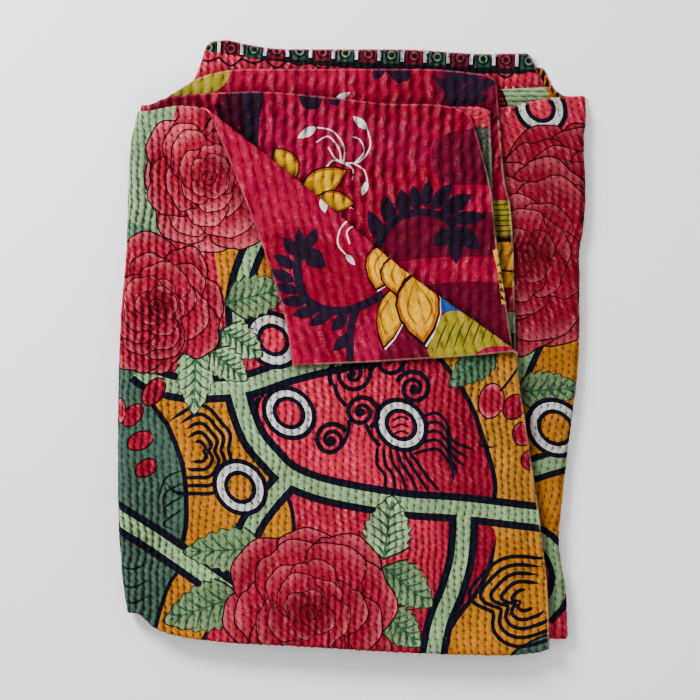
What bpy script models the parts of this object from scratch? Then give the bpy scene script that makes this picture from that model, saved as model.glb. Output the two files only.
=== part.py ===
"""A kantha quilt, folded to eight layers, with one corner of its top layer turned back.

The quilt is one cloth. It is folded in half across its length, and the doubled cloth is then
folded twice across its width. The cloth is laid out here as one grid of points: its columns
run across the quilt's width, from one side hem to the other, and its rows run from the end hem
of the lower ply, round the half-way fold, to the end hem of the upper ply.

The layers are numbered from the top, 1 to 8. Metres, +Z up, origin under the middle.
"""
import math
from collections import namedtuple

import bmesh
import bpy
from mathutils import Vector

MM = 0.001

# Driving dimensions of the cloth
LAYER_PITCH = 4.6 * MM  # from one layer's middle to the next
CREST_THICKNESS = 3.2 * MM  # between two lines of running stitch
VALLEY_THICKNESS = 1.9 * MM  # along a line of running stitch
HEM_THICKNESS = 1.8 * MM
LOWEST_MIDDLE = 0.9 * MM  # height of layer 8's middle over what it lies on
STITCH_PITCH = 13.5 * MM  # from one line of running stitch to the next

# How a layer comes down past the edges of the layers under it
SAG_CLEARANCE = 14.0 * MM
SAG_LENGTH = 30.0 * MM

# The turned-back corner: the plan ends of its fold, and the fold's own radius
TURN_TOP = Vector((-202.8 * MM, 316.5 * MM))
TURN_SIDE = Vector((212.1 * MM, -8.0 * MM))
TURN_RADIUS = 3.2 * MM
TURN_BOW = 8.0 * MM  # how far the fold's middle bows inwards
TURN_BOW_REACH = 50.0 * MM
TURN_BOW_CENTRE = 0.66  # along the fold, from its top end
TURN_BOW_WIDTH = 0.22
TURN_STEPS = 3
TURN_SNAP = 0.5 * MM  # a grid point this close to a cut across the fold counts as on it

# Rows of the grid, from a ply's half fold to its end hem, and steps round the half fold
ROWS = (0.0, 0.18, 0.5, 0.93, 1.0)
STEPS_BOTTOM = 3

Edge = namedtuple("Edge", "y x")  # where a side edge lies, in millimetres
Hem = namedtuple("Hem", "across y")  # across: 0 at the layer's left end, 1 at its right end

# Side edges, each from the top of the quilt down
LEFT_FOLD = [
    Edge(311, -292), Edge(261, -302), Edge(128, -307), Edge(21, -315), Edge(-138, -318),
    Edge(-231, -317), Edge(-298, -313), Edge(-344, -307), Edge(-358, -305),
]
RIGHT_FOLD_OUTER = [
    Edge(334, 302), Edge(311, 304), Edge(274, 301), Edge(201, 303), Edge(148, 299), Edge(128, 295),
    Edge(32, 295), Edge(-48, 291), Edge(-140, 279), Edge(-207, 272), Edge(-242, 268),
    Edge(-270, 268), Edge(-297, 272), Edge(-330, 277), Edge(-390, 280),
]
RIGHT_FOLD_INNER = [
    Edge(346, 253), Edge(314, 277), Edge(274, 293), Edge(194, 296), Edge(148, 292), Edge(32, 288),
    Edge(-48, 284), Edge(-140, 272), Edge(-242, 261), Edge(-297, 265), Edge(-390, 275),
]
SIDE_HEM_1 = [
    Edge(289, 160), Edge(170, 184), Edge(1, 212), Edge(-52, 216), Edge(-125, 227), Edge(-165, 233),
    Edge(-211, 240), Edge(-285, 249), Edge(-324, 253), Edge(-402, 256),
]
SIDE_HEM_2 = [
    Edge(300, 153), Edge(278, 160), Edge(243, 170), Edge(207, 178), Edge(182, 181), Edge(141, 185),
    Edge(101, 191), Edge(8, 205), Edge(-125, 221), Edge(-285, 244), Edge(-402, 256),
]
SIDE_HEM_3 = [
    Edge(319, 174), Edge(311, 177), Edge(211, 180), Edge(88, 185), Edge(-8, 189), Edge(-138, 193),
    Edge(-391, 196),
]
SIDE_HEM_4 = [
    Edge(355, 185), Edge(320, 188), Edge(223, 196), Edge(190, 203), Edge(145, 207), Edge(88, 209),
    Edge(-8, 211), Edge(-138, 205), Edge(-391, 196),
]

# End hems, in millimetres
END_HEM = {
    1: [Hem(0, 313), Hem(0.09, 320), Hem(0.17, 317), Hem(0.4, 302), Hem(0.65, 289),
        Hem(0.85, 284), Hem(1, 289)],
    2: [Hem(0, 321), Hem(0.05, 330), Hem(0.13, 335), Hem(0.34, 339), Hem(0.59, 330),
        Hem(0.74, 323), Hem(0.89, 322), Hem(0.98, 312), Hem(1, 302)],
    3: [Hem(0, 316), Hem(0.5, 318), Hem(0.97, 319), Hem(1, 314)],
    4: [Hem(0, 322), Hem(0.03, 327), Hem(0.1, 347), Hem(0.14, 358), Hem(0.2, 366),
        Hem(0.27, 370), Hem(0.79, 370), Hem(0.97, 362), Hem(1, 355)],
    5: [Hem(0, 322), Hem(0.5, 314), Hem(0.81, 318), Hem(0.92, 330), Hem(1, 334)],
    6: [Hem(0, 316), Hem(0.5, 338), Hem(0.88, 343), Hem(1, 346)],
    7: [Hem(0, 321), Hem(0.05, 327), Hem(0.105, 350), Hem(0.125, 372), Hem(0.145, 403),
        Hem(0.19, 409), Hem(0.25, 403), Hem(0.33, 397), Hem(0.65, 396), Hem(0.84, 390),
        Hem(0.955, 391), Hem(0.975, 374), Hem(1, 346)],
    8: [Hem(0, 313), Hem(0.12, 347), Hem(0.35, 370), Hem(0.8, 374), Hem(0.915, 372),
        Hem(0.94, 346), Hem(0.97, 334), Hem(1, 334)],
}

# The half-way fold of each pair of layers, in millimetres
HALF_FOLD = {
    "a": [Hem(0, -355), Hem(0.045, -377), Hem(0.16, -391), Hem(0.39, -399), Hem(0.635, -407),
          Hem(0.88, -411), Hem(0.98, -407), Hem(1, -402)],
    "b": [Hem(0, -355), Hem(0.06, -374), Hem(0.5, -388), Hem(1, -390)],
    "c": [Hem(0, -350), Hem(0.07, -370), Hem(0.5, -386), Hem(1, -390)],
    "d": [Hem(0, -350), Hem(0.06, -372), Hem(0.5, -388), Hem(1, -391)],
}

# One row for each pair of layers, in the order in which the cloth runs
Pair = namedtuple("Pair", "name upper lower leftwards")
PAIRS = [
    Pair("a", 1, 2, True),
    Pair("b", 8, 7, False),
    Pair("c", 5, 6, True),
    Pair("d", 4, 3, False),
]

# One row for each layer: how deep its left and right folds are nested, and their half-widths
Layer = namedtuple("Layer", "pair left_nest left_reach right_edge right_reach")
LAYERS = {
    1: Layer("a", 0, 14.5 * MM, SIDE_HEM_1, 0.0),
    2: Layer("a", 1, 10.0 * MM, SIDE_HEM_2, 0.0),
    3: Layer("d", 2, 6.0 * MM, SIDE_HEM_3, 0.0),
    4: Layer("d", 3, 2.2 * MM, SIDE_HEM_4, 0.0),
    5: Layer("c", 3, 2.2 * MM, RIGHT_FOLD_OUTER, 6.5 * MM),
    6: Layer("c", 2, 6.0 * MM, RIGHT_FOLD_INNER, 2.2 * MM),
    7: Layer("b", 1, 10.0 * MM, RIGHT_FOLD_INNER, 2.2 * MM),
    8: Layer("b", 0, 14.5 * MM, RIGHT_FOLD_OUTER, 6.5 * MM),
}

# Stretches across each pair, from its left end, with how many stitch lines one modelled line
# stands for there: more than one where little of the cloth shows
Stretch = namedtuple("Stretch", "pair start end share")
STRETCHES = [
    Stretch("a", 0.0, 1.0, 1.0),
    Stretch("b", 0.0, 1.0, 2.6),
    Stretch("c", 0.0, 0.76, 3.2),
    Stretch("c", 0.76, 1.0, 1.0),
    Stretch("d", 0.0, 1.0, 2.0),
]
PAIR_WIDTH = {"a": 530 * MM, "b": 570 * MM, "c": 570 * MM, "d": 460 * MM}


def smooth_step(value):
    value = min(max(value, 0.0), 1.0)
    return value * value * (3.0 - 2.0 * value)


def through(points, at):
    """The height at one place of the smooth curve through (place, height) points."""
    if at <= points[0][0]:
        return points[0][1]
    for before, after in zip(points, points[1:]):
        if at <= after[0]:
            index = points.index(before)
            prior = points[max(index - 1, 0)]
            later = points[min(index + 2, len(points) - 1)]
            span = after[0] - before[0]
            t = (at - before[0]) / span
            rise_in = (after[1] - prior[1]) / (after[0] - prior[0]) * span
            rise_out = (later[1] - before[1]) / (later[0] - before[0]) * span
            step = after[1] - before[1]
            rise_in = limited(rise_in, step)
            rise_out = limited(rise_out, step)
            t2, t3 = t * t, t * t * t
            return (
                before[1] * (2 * t3 - 3 * t2 + 1) + after[1] * (3 * t2 - 2 * t3)
                + rise_in * (t3 - 2 * t2 + t) + rise_out * (t3 - t2)
            )
    return points[-1][1]


def limited(rise, step):
    """A curve's slope, kept small enough that the curve doesn't overshoot."""
    if rise * step <= 0.0:
        return 0.0
    return math.copysign(min(abs(rise), 3.0 * abs(step)), step)


def edge_x(edge, y):
    points = [(-row.y, row.x) for row in edge]
    return through(points, -y / MM) * MM


def hem_y(number, across):
    return through(END_HEM[number], across) * MM


def half_fold_y(pair, across):
    return through(HALF_FOLD[pair], across) * MM


def left_end(number, y):
    """Where a layer's flat stretch meets its left fold."""
    layer = LAYERS[number]
    return edge_x(LEFT_FOLD, y) + layer.left_nest * LAYER_PITCH + layer.left_reach


def right_end(number, y):
    """Where a layer's flat stretch meets its right fold, or its side hem."""
    layer = LAYERS[number]
    return edge_x(layer.right_edge, y) - layer.right_reach


def past_edge(number, x, y):
    """How far a place lies outside a layer: past its end hem or its right edge."""
    left, right = left_end(number, y), right_end(number, y)
    across = min(max((x - left) / (right - left), 0.0), 1.0)
    return max(y - hem_y(number, across), x - right - LAYERS[number].right_reach)


def corner_distance(x, y):
    """How far a place lies past the turned-back corner's fold."""
    along = (TURN_SIDE - TURN_TOP).normalized()
    normal = Vector((-along.y, along.x))
    return (Vector((x, y)) - TURN_TOP).dot(normal)


def height(number, x, y):
    """The height of a layer's middle, let down past the edges of the layers under it."""
    level = LOWEST_MIDDLE + (8 - number) * LAYER_PITCH
    sag = 0.0
    for under in range(number + 1, 9):
        past = past_edge(under, x, y) - SAG_CLEARANCE
        sag += smooth_step(past / SAG_LENGTH)
    if number == 1:
        sag *= 1.0 - smooth_step(corner_distance(x, y) / SAG_LENGTH + 1.0)
    return level - sag * LAYER_PITCH


def flat_point(number, across, along):
    """A point of a layer's flat stretch. along: 0 at its half fold, 1 at its end hem."""
    start = half_fold_y(LAYERS[number].pair, across) + LAYER_PITCH / 2
    y = start + (hem_y(number, across) - start) * along
    left, right = left_end(number, y), right_end(number, y)
    x = left + (right - left) * across
    return Vector((x, y, height(number, x, y)))


def fold_point(start, end, side, turn, along):
    """A point of the fold between two layers. side: -1 left, 1 right. turn: 0 to 1."""
    across = 0.0 if side < 0 else 1.0
    first = flat_point(start, across, along)
    last = flat_point(end, across, along)
    layer = LAYERS[start]
    reach = layer.left_reach if side < 0 else layer.right_reach
    angle = math.pi * turn
    middle = (first + last) / 2
    point = middle + (first - middle) * math.cos(angle)
    point.x += side * reach * math.sin(angle)
    return point


# A column of the grid: on a pair's flat stretch, or in the fold between two pairs
Column = namedtuple("Column", "pair next_pair place fullness")


def stitch_lines(pair):
    """The places across a pair where the cloth is drawn in, and those where it is full."""
    places = [0.0]
    for stretch in STRETCHES:
        if stretch.pair != pair.name:
            continue
        span = stretch.end - stretch.start
        count = round(span * PAIR_WIDTH[pair.name] / (STITCH_PITCH * stretch.share))
        places += [stretch.start + span * (step + 1) / count for step in range(count)]
    lines = []
    for start, end in zip(places, places[1:]):
        lines.append((start, 0.0))
        lines.append(((start + end) / 2, 1.0))
    lines.append((1.0, 0.0))
    return lines


def columns():
    """The grid's columns, from the side hem of layers 1 and 2 to that of layers 3 and 4."""
    result = []
    fold_steps = {"a": 7, "b": 5, "c": 4}
    for index, pair in enumerate(PAIRS):
        lines = stitch_lines(pair)
        if pair.leftwards:
            lines.reverse()
        result += [Column(pair, None, place, full) for place, full in lines]
        if index + 1 < len(PAIRS):
            steps = fold_steps[pair.name]
            for step in range(1, steps):
                result.append(Column(pair, PAIRS[index + 1], step / steps, 0.5))
    return result


def cloth_point(column, ply, along):
    pair = column.pair
    number = pair.upper if ply == "upper" else pair.lower
    if column.next_pair is None:
        return flat_point(number, column.place, along)
    next_number = column.next_pair.upper if ply == "upper" else column.next_pair.lower
    side = -1 if pair.leftwards else 1
    return fold_point(number, next_number, side, column.place, along)


def column_points(column):
    """The points of one column, from the lower ply's end hem to the upper ply's."""
    lower = [cloth_point(column, "lower", along) for along in reversed(ROWS)]
    upper = [cloth_point(column, "upper", along) for along in ROWS]
    middle = (lower[-1] + upper[0]) / 2
    radius = (upper[0] - lower[-1]) / 2
    bottom = []
    for step in range(1, STEPS_BOTTOM):
        angle = math.pi * step / STEPS_BOTTOM
        point = middle - radius * math.cos(angle)
        point.y -= LAYER_PITCH / 2 * math.sin(angle)
        bottom.append(point)
    return lower + bottom + upper


def turn_corner(bm, corner_layer):
    """Fold the corner of layer 1 back over the rest of it."""
    along = (TURN_SIDE - TURN_TOP).normalized()
    normal = Vector((-along.y, along.x))
    length = (TURN_SIDE - TURN_TOP).length
    tangent = TURN_TOP - normal * TURN_RADIUS
    for step in range(TURN_STEPS + 1):
        shift = math.pi * TURN_RADIUS * step / TURN_STEPS
        faces = [face for face in bm.faces if all(vert[corner_layer] > 0.5 for vert in face.verts)]
        edges = list({edge for face in faces for edge in face.edges})
        verts = list({vert for face in faces for vert in face.verts})
        place = tangent + normal * shift
        bmesh.ops.bisect_plane(
            bm, geom=faces + edges + verts, dist=TURN_SNAP,
            plane_co=(place.x, place.y, 0.0), plane_no=(normal.x, normal.y, 0.0),
        )
    level = LOWEST_MIDDLE + 7 * LAYER_PITCH
    for vert in bm.verts:
        if vert[corner_layer] < 0.5:
            continue
        plan = Vector((vert.co.x, vert.co.y)) - tangent
        distance, progress = plan.dot(normal), plan.dot(along)
        over = vert.co.z - level
        if distance > math.pi * TURN_RADIUS:
            vert.co.z = level + 2 * TURN_RADIUS - over
            distance = math.pi * TURN_RADIUS - distance
        elif distance > 0.0:
            angle = distance / TURN_RADIUS
            vert.co.z = level + TURN_RADIUS - (TURN_RADIUS - over) * math.cos(angle)
            distance = (TURN_RADIUS - over) * math.sin(angle)
        bow = math.exp(-(((progress / length - TURN_BOW_CENTRE) / TURN_BOW_WIDTH) ** 2))
        bow *= math.exp(-((distance / TURN_BOW_REACH) ** 2))
        place = tangent + along * progress + normal * (distance - TURN_BOW * bow)
        vert.co.x, vert.co.y = place


def cloth_mesh():
    """The middle of the cloth as a grid, with how full the cloth is at each point."""
    bm = bmesh.new()
    fullness = bm.verts.layers.float.new("fullness")
    corner = bm.verts.layers.float.new("corner")
    grid = []
    for column in columns():
        points = column_points(column)
        first_upper = len(points) - len(ROWS)
        verts = []
        for row, point in enumerate(points):
            vert = bm.verts.new(point)
            vert[fullness] = column.fullness
            in_layer_1 = column.pair.name == "a" and column.next_pair is None
            vert[corner] = 1.0 if in_layer_1 and row >= first_upper else 0.0
            verts.append(vert)
        grid.append(verts)
    for left, right in zip(grid, grid[1:]):
        for row in range(len(left) - 1):
            bm.faces.new((left[row], left[row + 1], right[row + 1], right[row]))
    turn_corner(bm, corner)
    for vert in bm.verts:
        if vert.is_boundary:
            vert[fullness] = -1.0
    bmesh.ops.triangulate(bm, faces=bm.faces[:])
    mesh = bpy.data.meshes.new("quilt")
    bm.to_mesh(mesh)
    bm.free()
    return mesh


def cloth_material():
    material = bpy.data.materials.new("quilt_cloth")
    material.use_nodes = True
    shader = material.node_tree.nodes["Principled BSDF"]
    shader.inputs["Base Color"].default_value = (0.42, 0.03, 0.08, 1.0)
    shader.inputs["Roughness"].default_value = 0.85
    shader.inputs["Metallic"].default_value = 0.0
    return material


def centre(mesh):
    """Put the origin under the middle of the cloth's box."""
    for axis in (0, 1):
        places = [vert.co[axis] for vert in mesh.vertices]
        middle = (min(places) + max(places)) / 2
        for vert in mesh.vertices:
            vert.co[axis] -= middle


def quilt(collection):
    mesh = cloth_mesh()
    open_sheet = bpy.data.objects.new("quilt", mesh)
    collection.objects.link(open_sheet)
    group = open_sheet.vertex_groups.new(name="thickness")
    for index, item in enumerate(mesh.attributes["fullness"].data):
        thickness = VALLEY_THICKNESS + (CREST_THICKNESS - VALLEY_THICKNESS) * item.value
        if item.value < 0.0:
            thickness = HEM_THICKNESS
        group.add([index], thickness / CREST_THICKNESS, "REPLACE")
    thick = open_sheet.modifiers.new("thickness", "SOLIDIFY")
    thick.thickness = CREST_THICKNESS
    thick.offset = 0.0
    thick.vertex_group = group.name

    depsgraph = bpy.context.evaluated_depsgraph_get()
    solid = bpy.data.meshes.new_from_object(open_sheet.evaluated_get(depsgraph))
    open_sheet.modifiers.remove(thick)
    open_sheet.data = solid
    for vert in solid.vertices:
        vert.co.z = max(vert.co.z, 0.0)
    centre(solid)
    solid.shade_smooth()
    solid.materials.clear()
    solid.materials.append(cloth_material())
    return open_sheet


def main():
    for item in list(bpy.data.objects):
        bpy.data.objects.remove(item)
    collection = bpy.data.collections.new("kantha_quilt")
    bpy.context.scene.collection.children.link(collection)
    quilt(collection)


main()
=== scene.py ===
"""The looks of a kantha quilt, folded to eight layers with one corner turned back.

The cloth is one closed sheet. Both of its faces are triangulated flat, with the print's outlines
as edges, and then folded with the same sizes as the solid. The print is charted over the plan of
each layer as it is seen.
"""

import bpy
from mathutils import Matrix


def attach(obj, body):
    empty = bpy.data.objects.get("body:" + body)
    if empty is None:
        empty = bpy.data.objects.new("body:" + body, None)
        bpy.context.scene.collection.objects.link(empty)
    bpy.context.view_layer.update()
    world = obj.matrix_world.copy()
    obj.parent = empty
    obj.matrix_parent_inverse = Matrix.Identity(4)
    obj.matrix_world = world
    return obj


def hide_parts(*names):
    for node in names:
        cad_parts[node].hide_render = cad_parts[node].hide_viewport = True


bl_info = {
    "name": "Folded kantha quilt",
    "version": (1, 0, 0),
    "blender": (4, 5, 0),
    "location": "3D View > Sidebar > Quilt",
    "description": "Makes a folded quilt with its print, its ridges and its running stitches",
    "category": "Object",
}

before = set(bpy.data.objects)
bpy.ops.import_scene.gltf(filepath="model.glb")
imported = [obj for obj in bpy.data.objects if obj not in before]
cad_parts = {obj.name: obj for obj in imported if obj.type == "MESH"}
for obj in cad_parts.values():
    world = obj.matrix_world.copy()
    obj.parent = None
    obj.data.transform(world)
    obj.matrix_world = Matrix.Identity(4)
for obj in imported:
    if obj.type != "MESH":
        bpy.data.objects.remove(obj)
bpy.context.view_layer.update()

import math
import random
from collections import namedtuple

import bpy
import numpy as np
from mathutils import Vector
from mathutils.geometry import delaunay_2d_cdt

MM = 0.001

# ---------------------------------------------------------------- the folded cloth, in millimetres
LAYER_PITCH = 4.6
LOWEST_MIDDLE = 0.9
FLOOR_GAP = 0.05
HALF_FOLD_RADIUS = LAYER_PITCH / 2
HALF_FOLD_ARC = math.pi * HALF_FOLD_RADIUS
SAG_CLEARANCE = 8.0
SAG_LENGTH = 30.0

# The turned-back corner
TURN_TOP = np.array((-202.8, 316.5))
TURN_SIDE = np.array((212.1, -8.0))
TURN_RADIUS = 3.2
TURN_BOW = 8.0  # how far its fold is bowed, how far from the fold that reaches, and where along it
TURN_BOW_REACH = 50.0
TURN_BOW_CENTRE = 0.66
TURN_BOW_WIDTH = 0.22
TURN_SETTLE = 0.9  # how far the corner comes down past its fold, and over what length
TURN_SETTLE_REACH = 40.0
TURN_ALONG = (TURN_SIDE - TURN_TOP) / np.linalg.norm(TURN_SIDE - TURN_TOP)
TURN_NORMAL = np.array((-TURN_ALONG[1], TURN_ALONG[0]))
TURN_LENGTH = float(np.linalg.norm(TURN_SIDE - TURN_TOP))

# The folds across the stack, in the order in which the cloth runs: the flat cloth that each takes,
# and the side that it lies on
Fold = namedtuple("Fold", "length side")
FOLDS = (Fold(46.0, -1), Fold(20.0, 1), Fold(10.0, -1))

Edge = namedtuple("Edge", "y x")
Hem = namedtuple("Hem", "across y")

LEFT_FOLD = [
    Edge(311, -292), Edge(261, -302), Edge(128, -307), Edge(21, -315), Edge(-138, -318),
    Edge(-231, -317), Edge(-298, -313), Edge(-344, -307), Edge(-358, -305),
]
RIGHT_FOLD_OUTER = [
    Edge(334, 302), Edge(311, 304), Edge(274, 301), Edge(201, 303), Edge(148, 299), Edge(128, 295),
    Edge(32, 295), Edge(-48, 291), Edge(-140, 279), Edge(-207, 272), Edge(-242, 268),
    Edge(-270, 268), Edge(-297, 272), Edge(-330, 277), Edge(-390, 280),
]
RIGHT_FOLD_INNER = [
    Edge(346, 253), Edge(314, 277), Edge(274, 293), Edge(194, 296), Edge(148, 292), Edge(32, 288),
    Edge(-48, 284), Edge(-140, 272), Edge(-242, 261), Edge(-297, 265), Edge(-390, 275),
]
SIDE_HEM_1 = [
    Edge(289, 160), Edge(170, 184), Edge(1, 212), Edge(-52, 216), Edge(-125, 227), Edge(-165, 233),
    Edge(-211, 240), Edge(-285, 249), Edge(-324, 253), Edge(-402, 256),
]
SIDE_HEM_2 = [
    Edge(300, 153), Edge(278, 160), Edge(243, 170), Edge(207, 178), Edge(182, 181), Edge(141, 185),
    Edge(101, 191), Edge(8, 205), Edge(-125, 221), Edge(-285, 244), Edge(-402, 256),
]
SIDE_HEM_3 = [
    Edge(319, 174), Edge(311, 177), Edge(211, 180), Edge(88, 185), Edge(-8, 189), Edge(-138, 193),
    Edge(-391, 196),
]
SIDE_HEM_4 = [
    Edge(355, 185), Edge(320, 188), Edge(223, 196), Edge(190, 203), Edge(145, 207), Edge(88, 209),
    Edge(-8, 211), Edge(-138, 205), Edge(-391, 196),
]
END_HEM = {
    1: [Hem(0, 313), Hem(0.09, 320), Hem(0.17, 317), Hem(0.4, 302), Hem(0.65, 289),
        Hem(0.85, 284), Hem(1, 289)],
    2: [Hem(0, 321), Hem(0.05, 330), Hem(0.13, 335), Hem(0.34, 339), Hem(0.59, 330),
        Hem(0.74, 323), Hem(0.89, 322), Hem(0.98, 312), Hem(1, 302)],
    3: [Hem(0, 316), Hem(0.5, 318), Hem(0.97, 319), Hem(1, 314)],
    4: [Hem(0, 322), Hem(0.03, 327), Hem(0.1, 347), Hem(0.14, 358), Hem(0.2, 366),
        Hem(0.27, 370), Hem(0.79, 370), Hem(0.97, 362), Hem(1, 355)],
    5: [Hem(0, 322), Hem(0.5, 314), Hem(0.81, 318), Hem(0.92, 330), Hem(1, 334)],
    6: [Hem(0, 316), Hem(0.5, 338), Hem(0.88, 343), Hem(1, 346)],
    7: [Hem(0, 321), Hem(0.05, 327), Hem(0.105, 350), Hem(0.125, 372), Hem(0.145, 403),
        Hem(0.19, 409), Hem(0.25, 403), Hem(0.33, 397), Hem(0.65, 396), Hem(0.84, 390),
        Hem(0.955, 391), Hem(0.975, 374), Hem(1, 346)],
    8: [Hem(0, 313), Hem(0.12, 347), Hem(0.35, 370), Hem(0.8, 374), Hem(0.915, 372),
        Hem(0.94, 346), Hem(0.97, 334), Hem(1, 334)],
}
HALF_FOLD = {
    "a": [Hem(0, -355), Hem(0.045, -377), Hem(0.16, -391), Hem(0.39, -399), Hem(0.635, -407),
          Hem(0.88, -411), Hem(0.98, -407), Hem(1, -402)],
    "b": [Hem(0, -355), Hem(0.06, -374), Hem(0.5, -388), Hem(1, -390)],
    "c": [Hem(0, -350), Hem(0.07, -370), Hem(0.5, -386), Hem(1, -390)],
    "d": [Hem(0, -350), Hem(0.06, -372), Hem(0.5, -388), Hem(1, -391)],
}
Layer = namedtuple("Layer", "pair left_nest left_reach right_edge right_reach")
LAYERS = {
    1: Layer("a", 0, 14.5, SIDE_HEM_1, 0.0),
    2: Layer("a", 1, 10.0, SIDE_HEM_2, 0.0),
    3: Layer("d", 2, 6.0, SIDE_HEM_3, 0.0),
    4: Layer("d", 3, 2.2, SIDE_HEM_4, 0.0),
    5: Layer("c", 3, 2.2, RIGHT_FOLD_OUTER, 6.5),
    6: Layer("c", 2, 6.0, RIGHT_FOLD_INNER, 2.2),
    7: Layer("b", 1, 10.0, RIGHT_FOLD_INNER, 2.2),
    8: Layer("b", 0, 14.5, RIGHT_FOLD_OUTER, 6.5),
}
LAYER_COUNT = len(LAYERS)
PLY_LAYERS = {"upper": (1, 8, 5, 4), "lower": (2, 7, 6, 3)}  # in the order in which the cloth runs
TOP_OF_PAIR = {"a": 1, "b": 8, "c": 5, "d": 4}

# ---------------------------------------------------------------- relief, in millimetres
STITCH_PITCH = 9.5  # from one line of running stitch to the next
STITCH_STEP = 9.2  # from one stitch of a line to the next
STITCH_OFFSET = 0.37  # how far along each line's stitches stand past the last line's, in steps
VALLEY_HALF = 0.6
CREST_HALF = 2.15
HEM_HALF = 0.9
TURNED_RELIEF = 0.5  # how much of the relief is left on the turned corner
FLAT_FILLING = 0.35  # how full the cloth is where it isn't puckered


def smooth_step(value):
    value = np.clip(value, 0.0, 1.0)
    return value * value * (3.0 - 2.0 * value)


def limited(rise, step):
    """A curve's slope, kept small enough that the curve doesn't overshoot."""
    if rise * step <= 0.0:
        return 0.0
    return math.copysign(min(abs(rise), 3.0 * abs(step)), step)


def through(points, at):
    """The height at one place of the smooth curve through (place, height) points."""
    if at <= points[0][0]:
        return points[0][1]
    for index, (before, after) in enumerate(zip(points, points[1:])):
        if at <= after[0]:
            prior = points[max(index - 1, 0)]
            later = points[min(index + 2, len(points) - 1)]
            span = after[0] - before[0]
            t = (at - before[0]) / span
            step = after[1] - before[1]
            rise_in = limited((after[1] - prior[1]) / (after[0] - prior[0]) * span, step)
            rise_out = limited((later[1] - before[1]) / (later[0] - before[0]) * span, step)
            t2, t3 = t * t, t * t * t
            return (
                before[1] * (2 * t3 - 3 * t2 + 1) + after[1] * (3 * t2 - 2 * t3)
                + rise_in * (t3 - 2 * t2 + t) + rise_out * (t3 - t2)
            )
    return points[-1][1]


class Curve:
    """A smooth curve through a table, read at many places at once."""

    SAMPLES = 600

    def __init__(self, rows):
        rows = sorted(tuple(row) for row in rows)
        self.places = np.linspace(rows[0][0], rows[-1][0], self.SAMPLES)
        self.heights = np.array([through(rows, place) for place in self.places])

    def __call__(self, at):
        return np.interp(at, self.places, self.heights)


EDGES = {number: Curve(layer.right_edge) for number, layer in LAYERS.items()}
LEFT = Curve(LEFT_FOLD)
HEMS = {number: Curve(rows) for number, rows in END_HEM.items()}
HALVES = {pair: Curve(rows) for pair, rows in HALF_FOLD.items()}


def left_end(number, y):
    layer = LAYERS[number]
    return LEFT(y) + layer.left_nest * LAYER_PITCH + layer.left_reach


def right_end(number, y):
    return EDGES[number](y) - LAYERS[number].right_reach


def corner_distance(x, y):
    """How far a place lies past the turned-back corner's fold."""
    return (x - TURN_TOP[0]) * TURN_NORMAL[0] + (y - TURN_TOP[1]) * TURN_NORMAL[1]


def beyond(number, x, y):
    """How far places lie outside a layer's end hem or its right edge."""
    left, right = left_end(number, y), right_end(number, y)
    across = np.clip((x - left) / (right - left), 0.0, 1.0)
    return np.maximum(y - HEMS[number](across), x - right - LAYERS[number].right_reach)


def height(number, x, y):
    """The height of a layer's middle, let down past the edges of the layers under it."""
    sag = np.zeros_like(x)
    for under in range(number + 1, LAYER_COUNT + 1):
        sag += smooth_step((beyond(under, x, y) - SAG_CLEARANCE) / SAG_LENGTH)
    if number == 1:
        sag *= 1.0 - smooth_step(corner_distance(x, y) / SAG_LENGTH + 1.0)
    return LOWEST_MIDDLE + (LAYER_COUNT - number - sag) * LAYER_PITCH


def stations(ply, y):
    """Where each flat stretch and fold of a ply ends along the flat cloth, and where its folds are."""
    first, second, third, _ = PLY_LAYERS[ply]
    turns = left_end(first, y), right_end(second, y), left_end(third, y)
    starts = [turns[0]]
    for index, fold in enumerate(FOLDS):
        starts.append(starts[-1] - fold.length)
        if index < 2:
            starts.append(starts[-1] - abs(turns[1] - turns[2 * index]))
    return starts, turns


def fold_of(order, layers, turn, x, y):
    """A fold between two of a ply's layers: turn runs from 0, at the first one, to 1."""
    first, second = layers[order:order + 2]
    side, layer = FOLDS[order].side, LAYERS[first]
    reach = layer.right_reach if side > 0 else layer.left_reach
    high, low = height(first, x, y), height(second, x, y)
    z = (high + low) / 2 + (high - low) / 2 * np.cos(math.pi * turn)
    return x + side * reach * np.sin(math.pi * turn), z


def ply_point(ply, u, y):
    """Where a ply's middle lies, for cloth places u at the heights y of the stack's plan.

    The number that comes with each place is its layer's, or below zero on a fold.
    """
    starts, turns = stations(ply, y)
    layers = PLY_LAYERS[ply]
    x, z = np.empty_like(u), np.empty_like(u)
    number = np.zeros(len(u), int)
    bounds = [np.full_like(u, np.inf), *starts, np.full_like(u, -np.inf)]
    for index in range(len(starts) + 1):
        here = (u <= bounds[index]) & (u > bounds[index + 1])
        order, folding = divmod(index, 2)
        past, yh = bounds[index][here] - u[here], y[here]
        if folding:
            turn = past / FOLDS[order].length
            x[here], z[here] = fold_of(order, layers, turn, turns[order][here], yh)
            number[here] = -1 - order
        else:
            x[here] = turns[order - 1][here] - FOLDS[order - 1].side * past if order else u[here]
            z[here], number[here] = height(layers[order], x[here], yh), layers[order]
    return np.stack((x, y, z), axis=1), number


def along_ply(ply, number, x, y):
    """How far along the flat cloth a place on the plan of one of a ply's layers lies."""
    starts, turns = stations(ply, y)
    order = PLY_LAYERS[ply].index(number)
    if order == 0:
        return x
    return starts[2 * order - 1] + FOLDS[order - 1].side * (x - turns[order - 1])


def flat_of(number, x, y):
    """The flat cloth's place for a place on a layer's plan."""
    if number in PLY_LAYERS["upper"]:
        return along_ply("upper", number, x, y), y
    u = along_ply("lower", number, x, y)
    return u, past_half(u, y)


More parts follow.
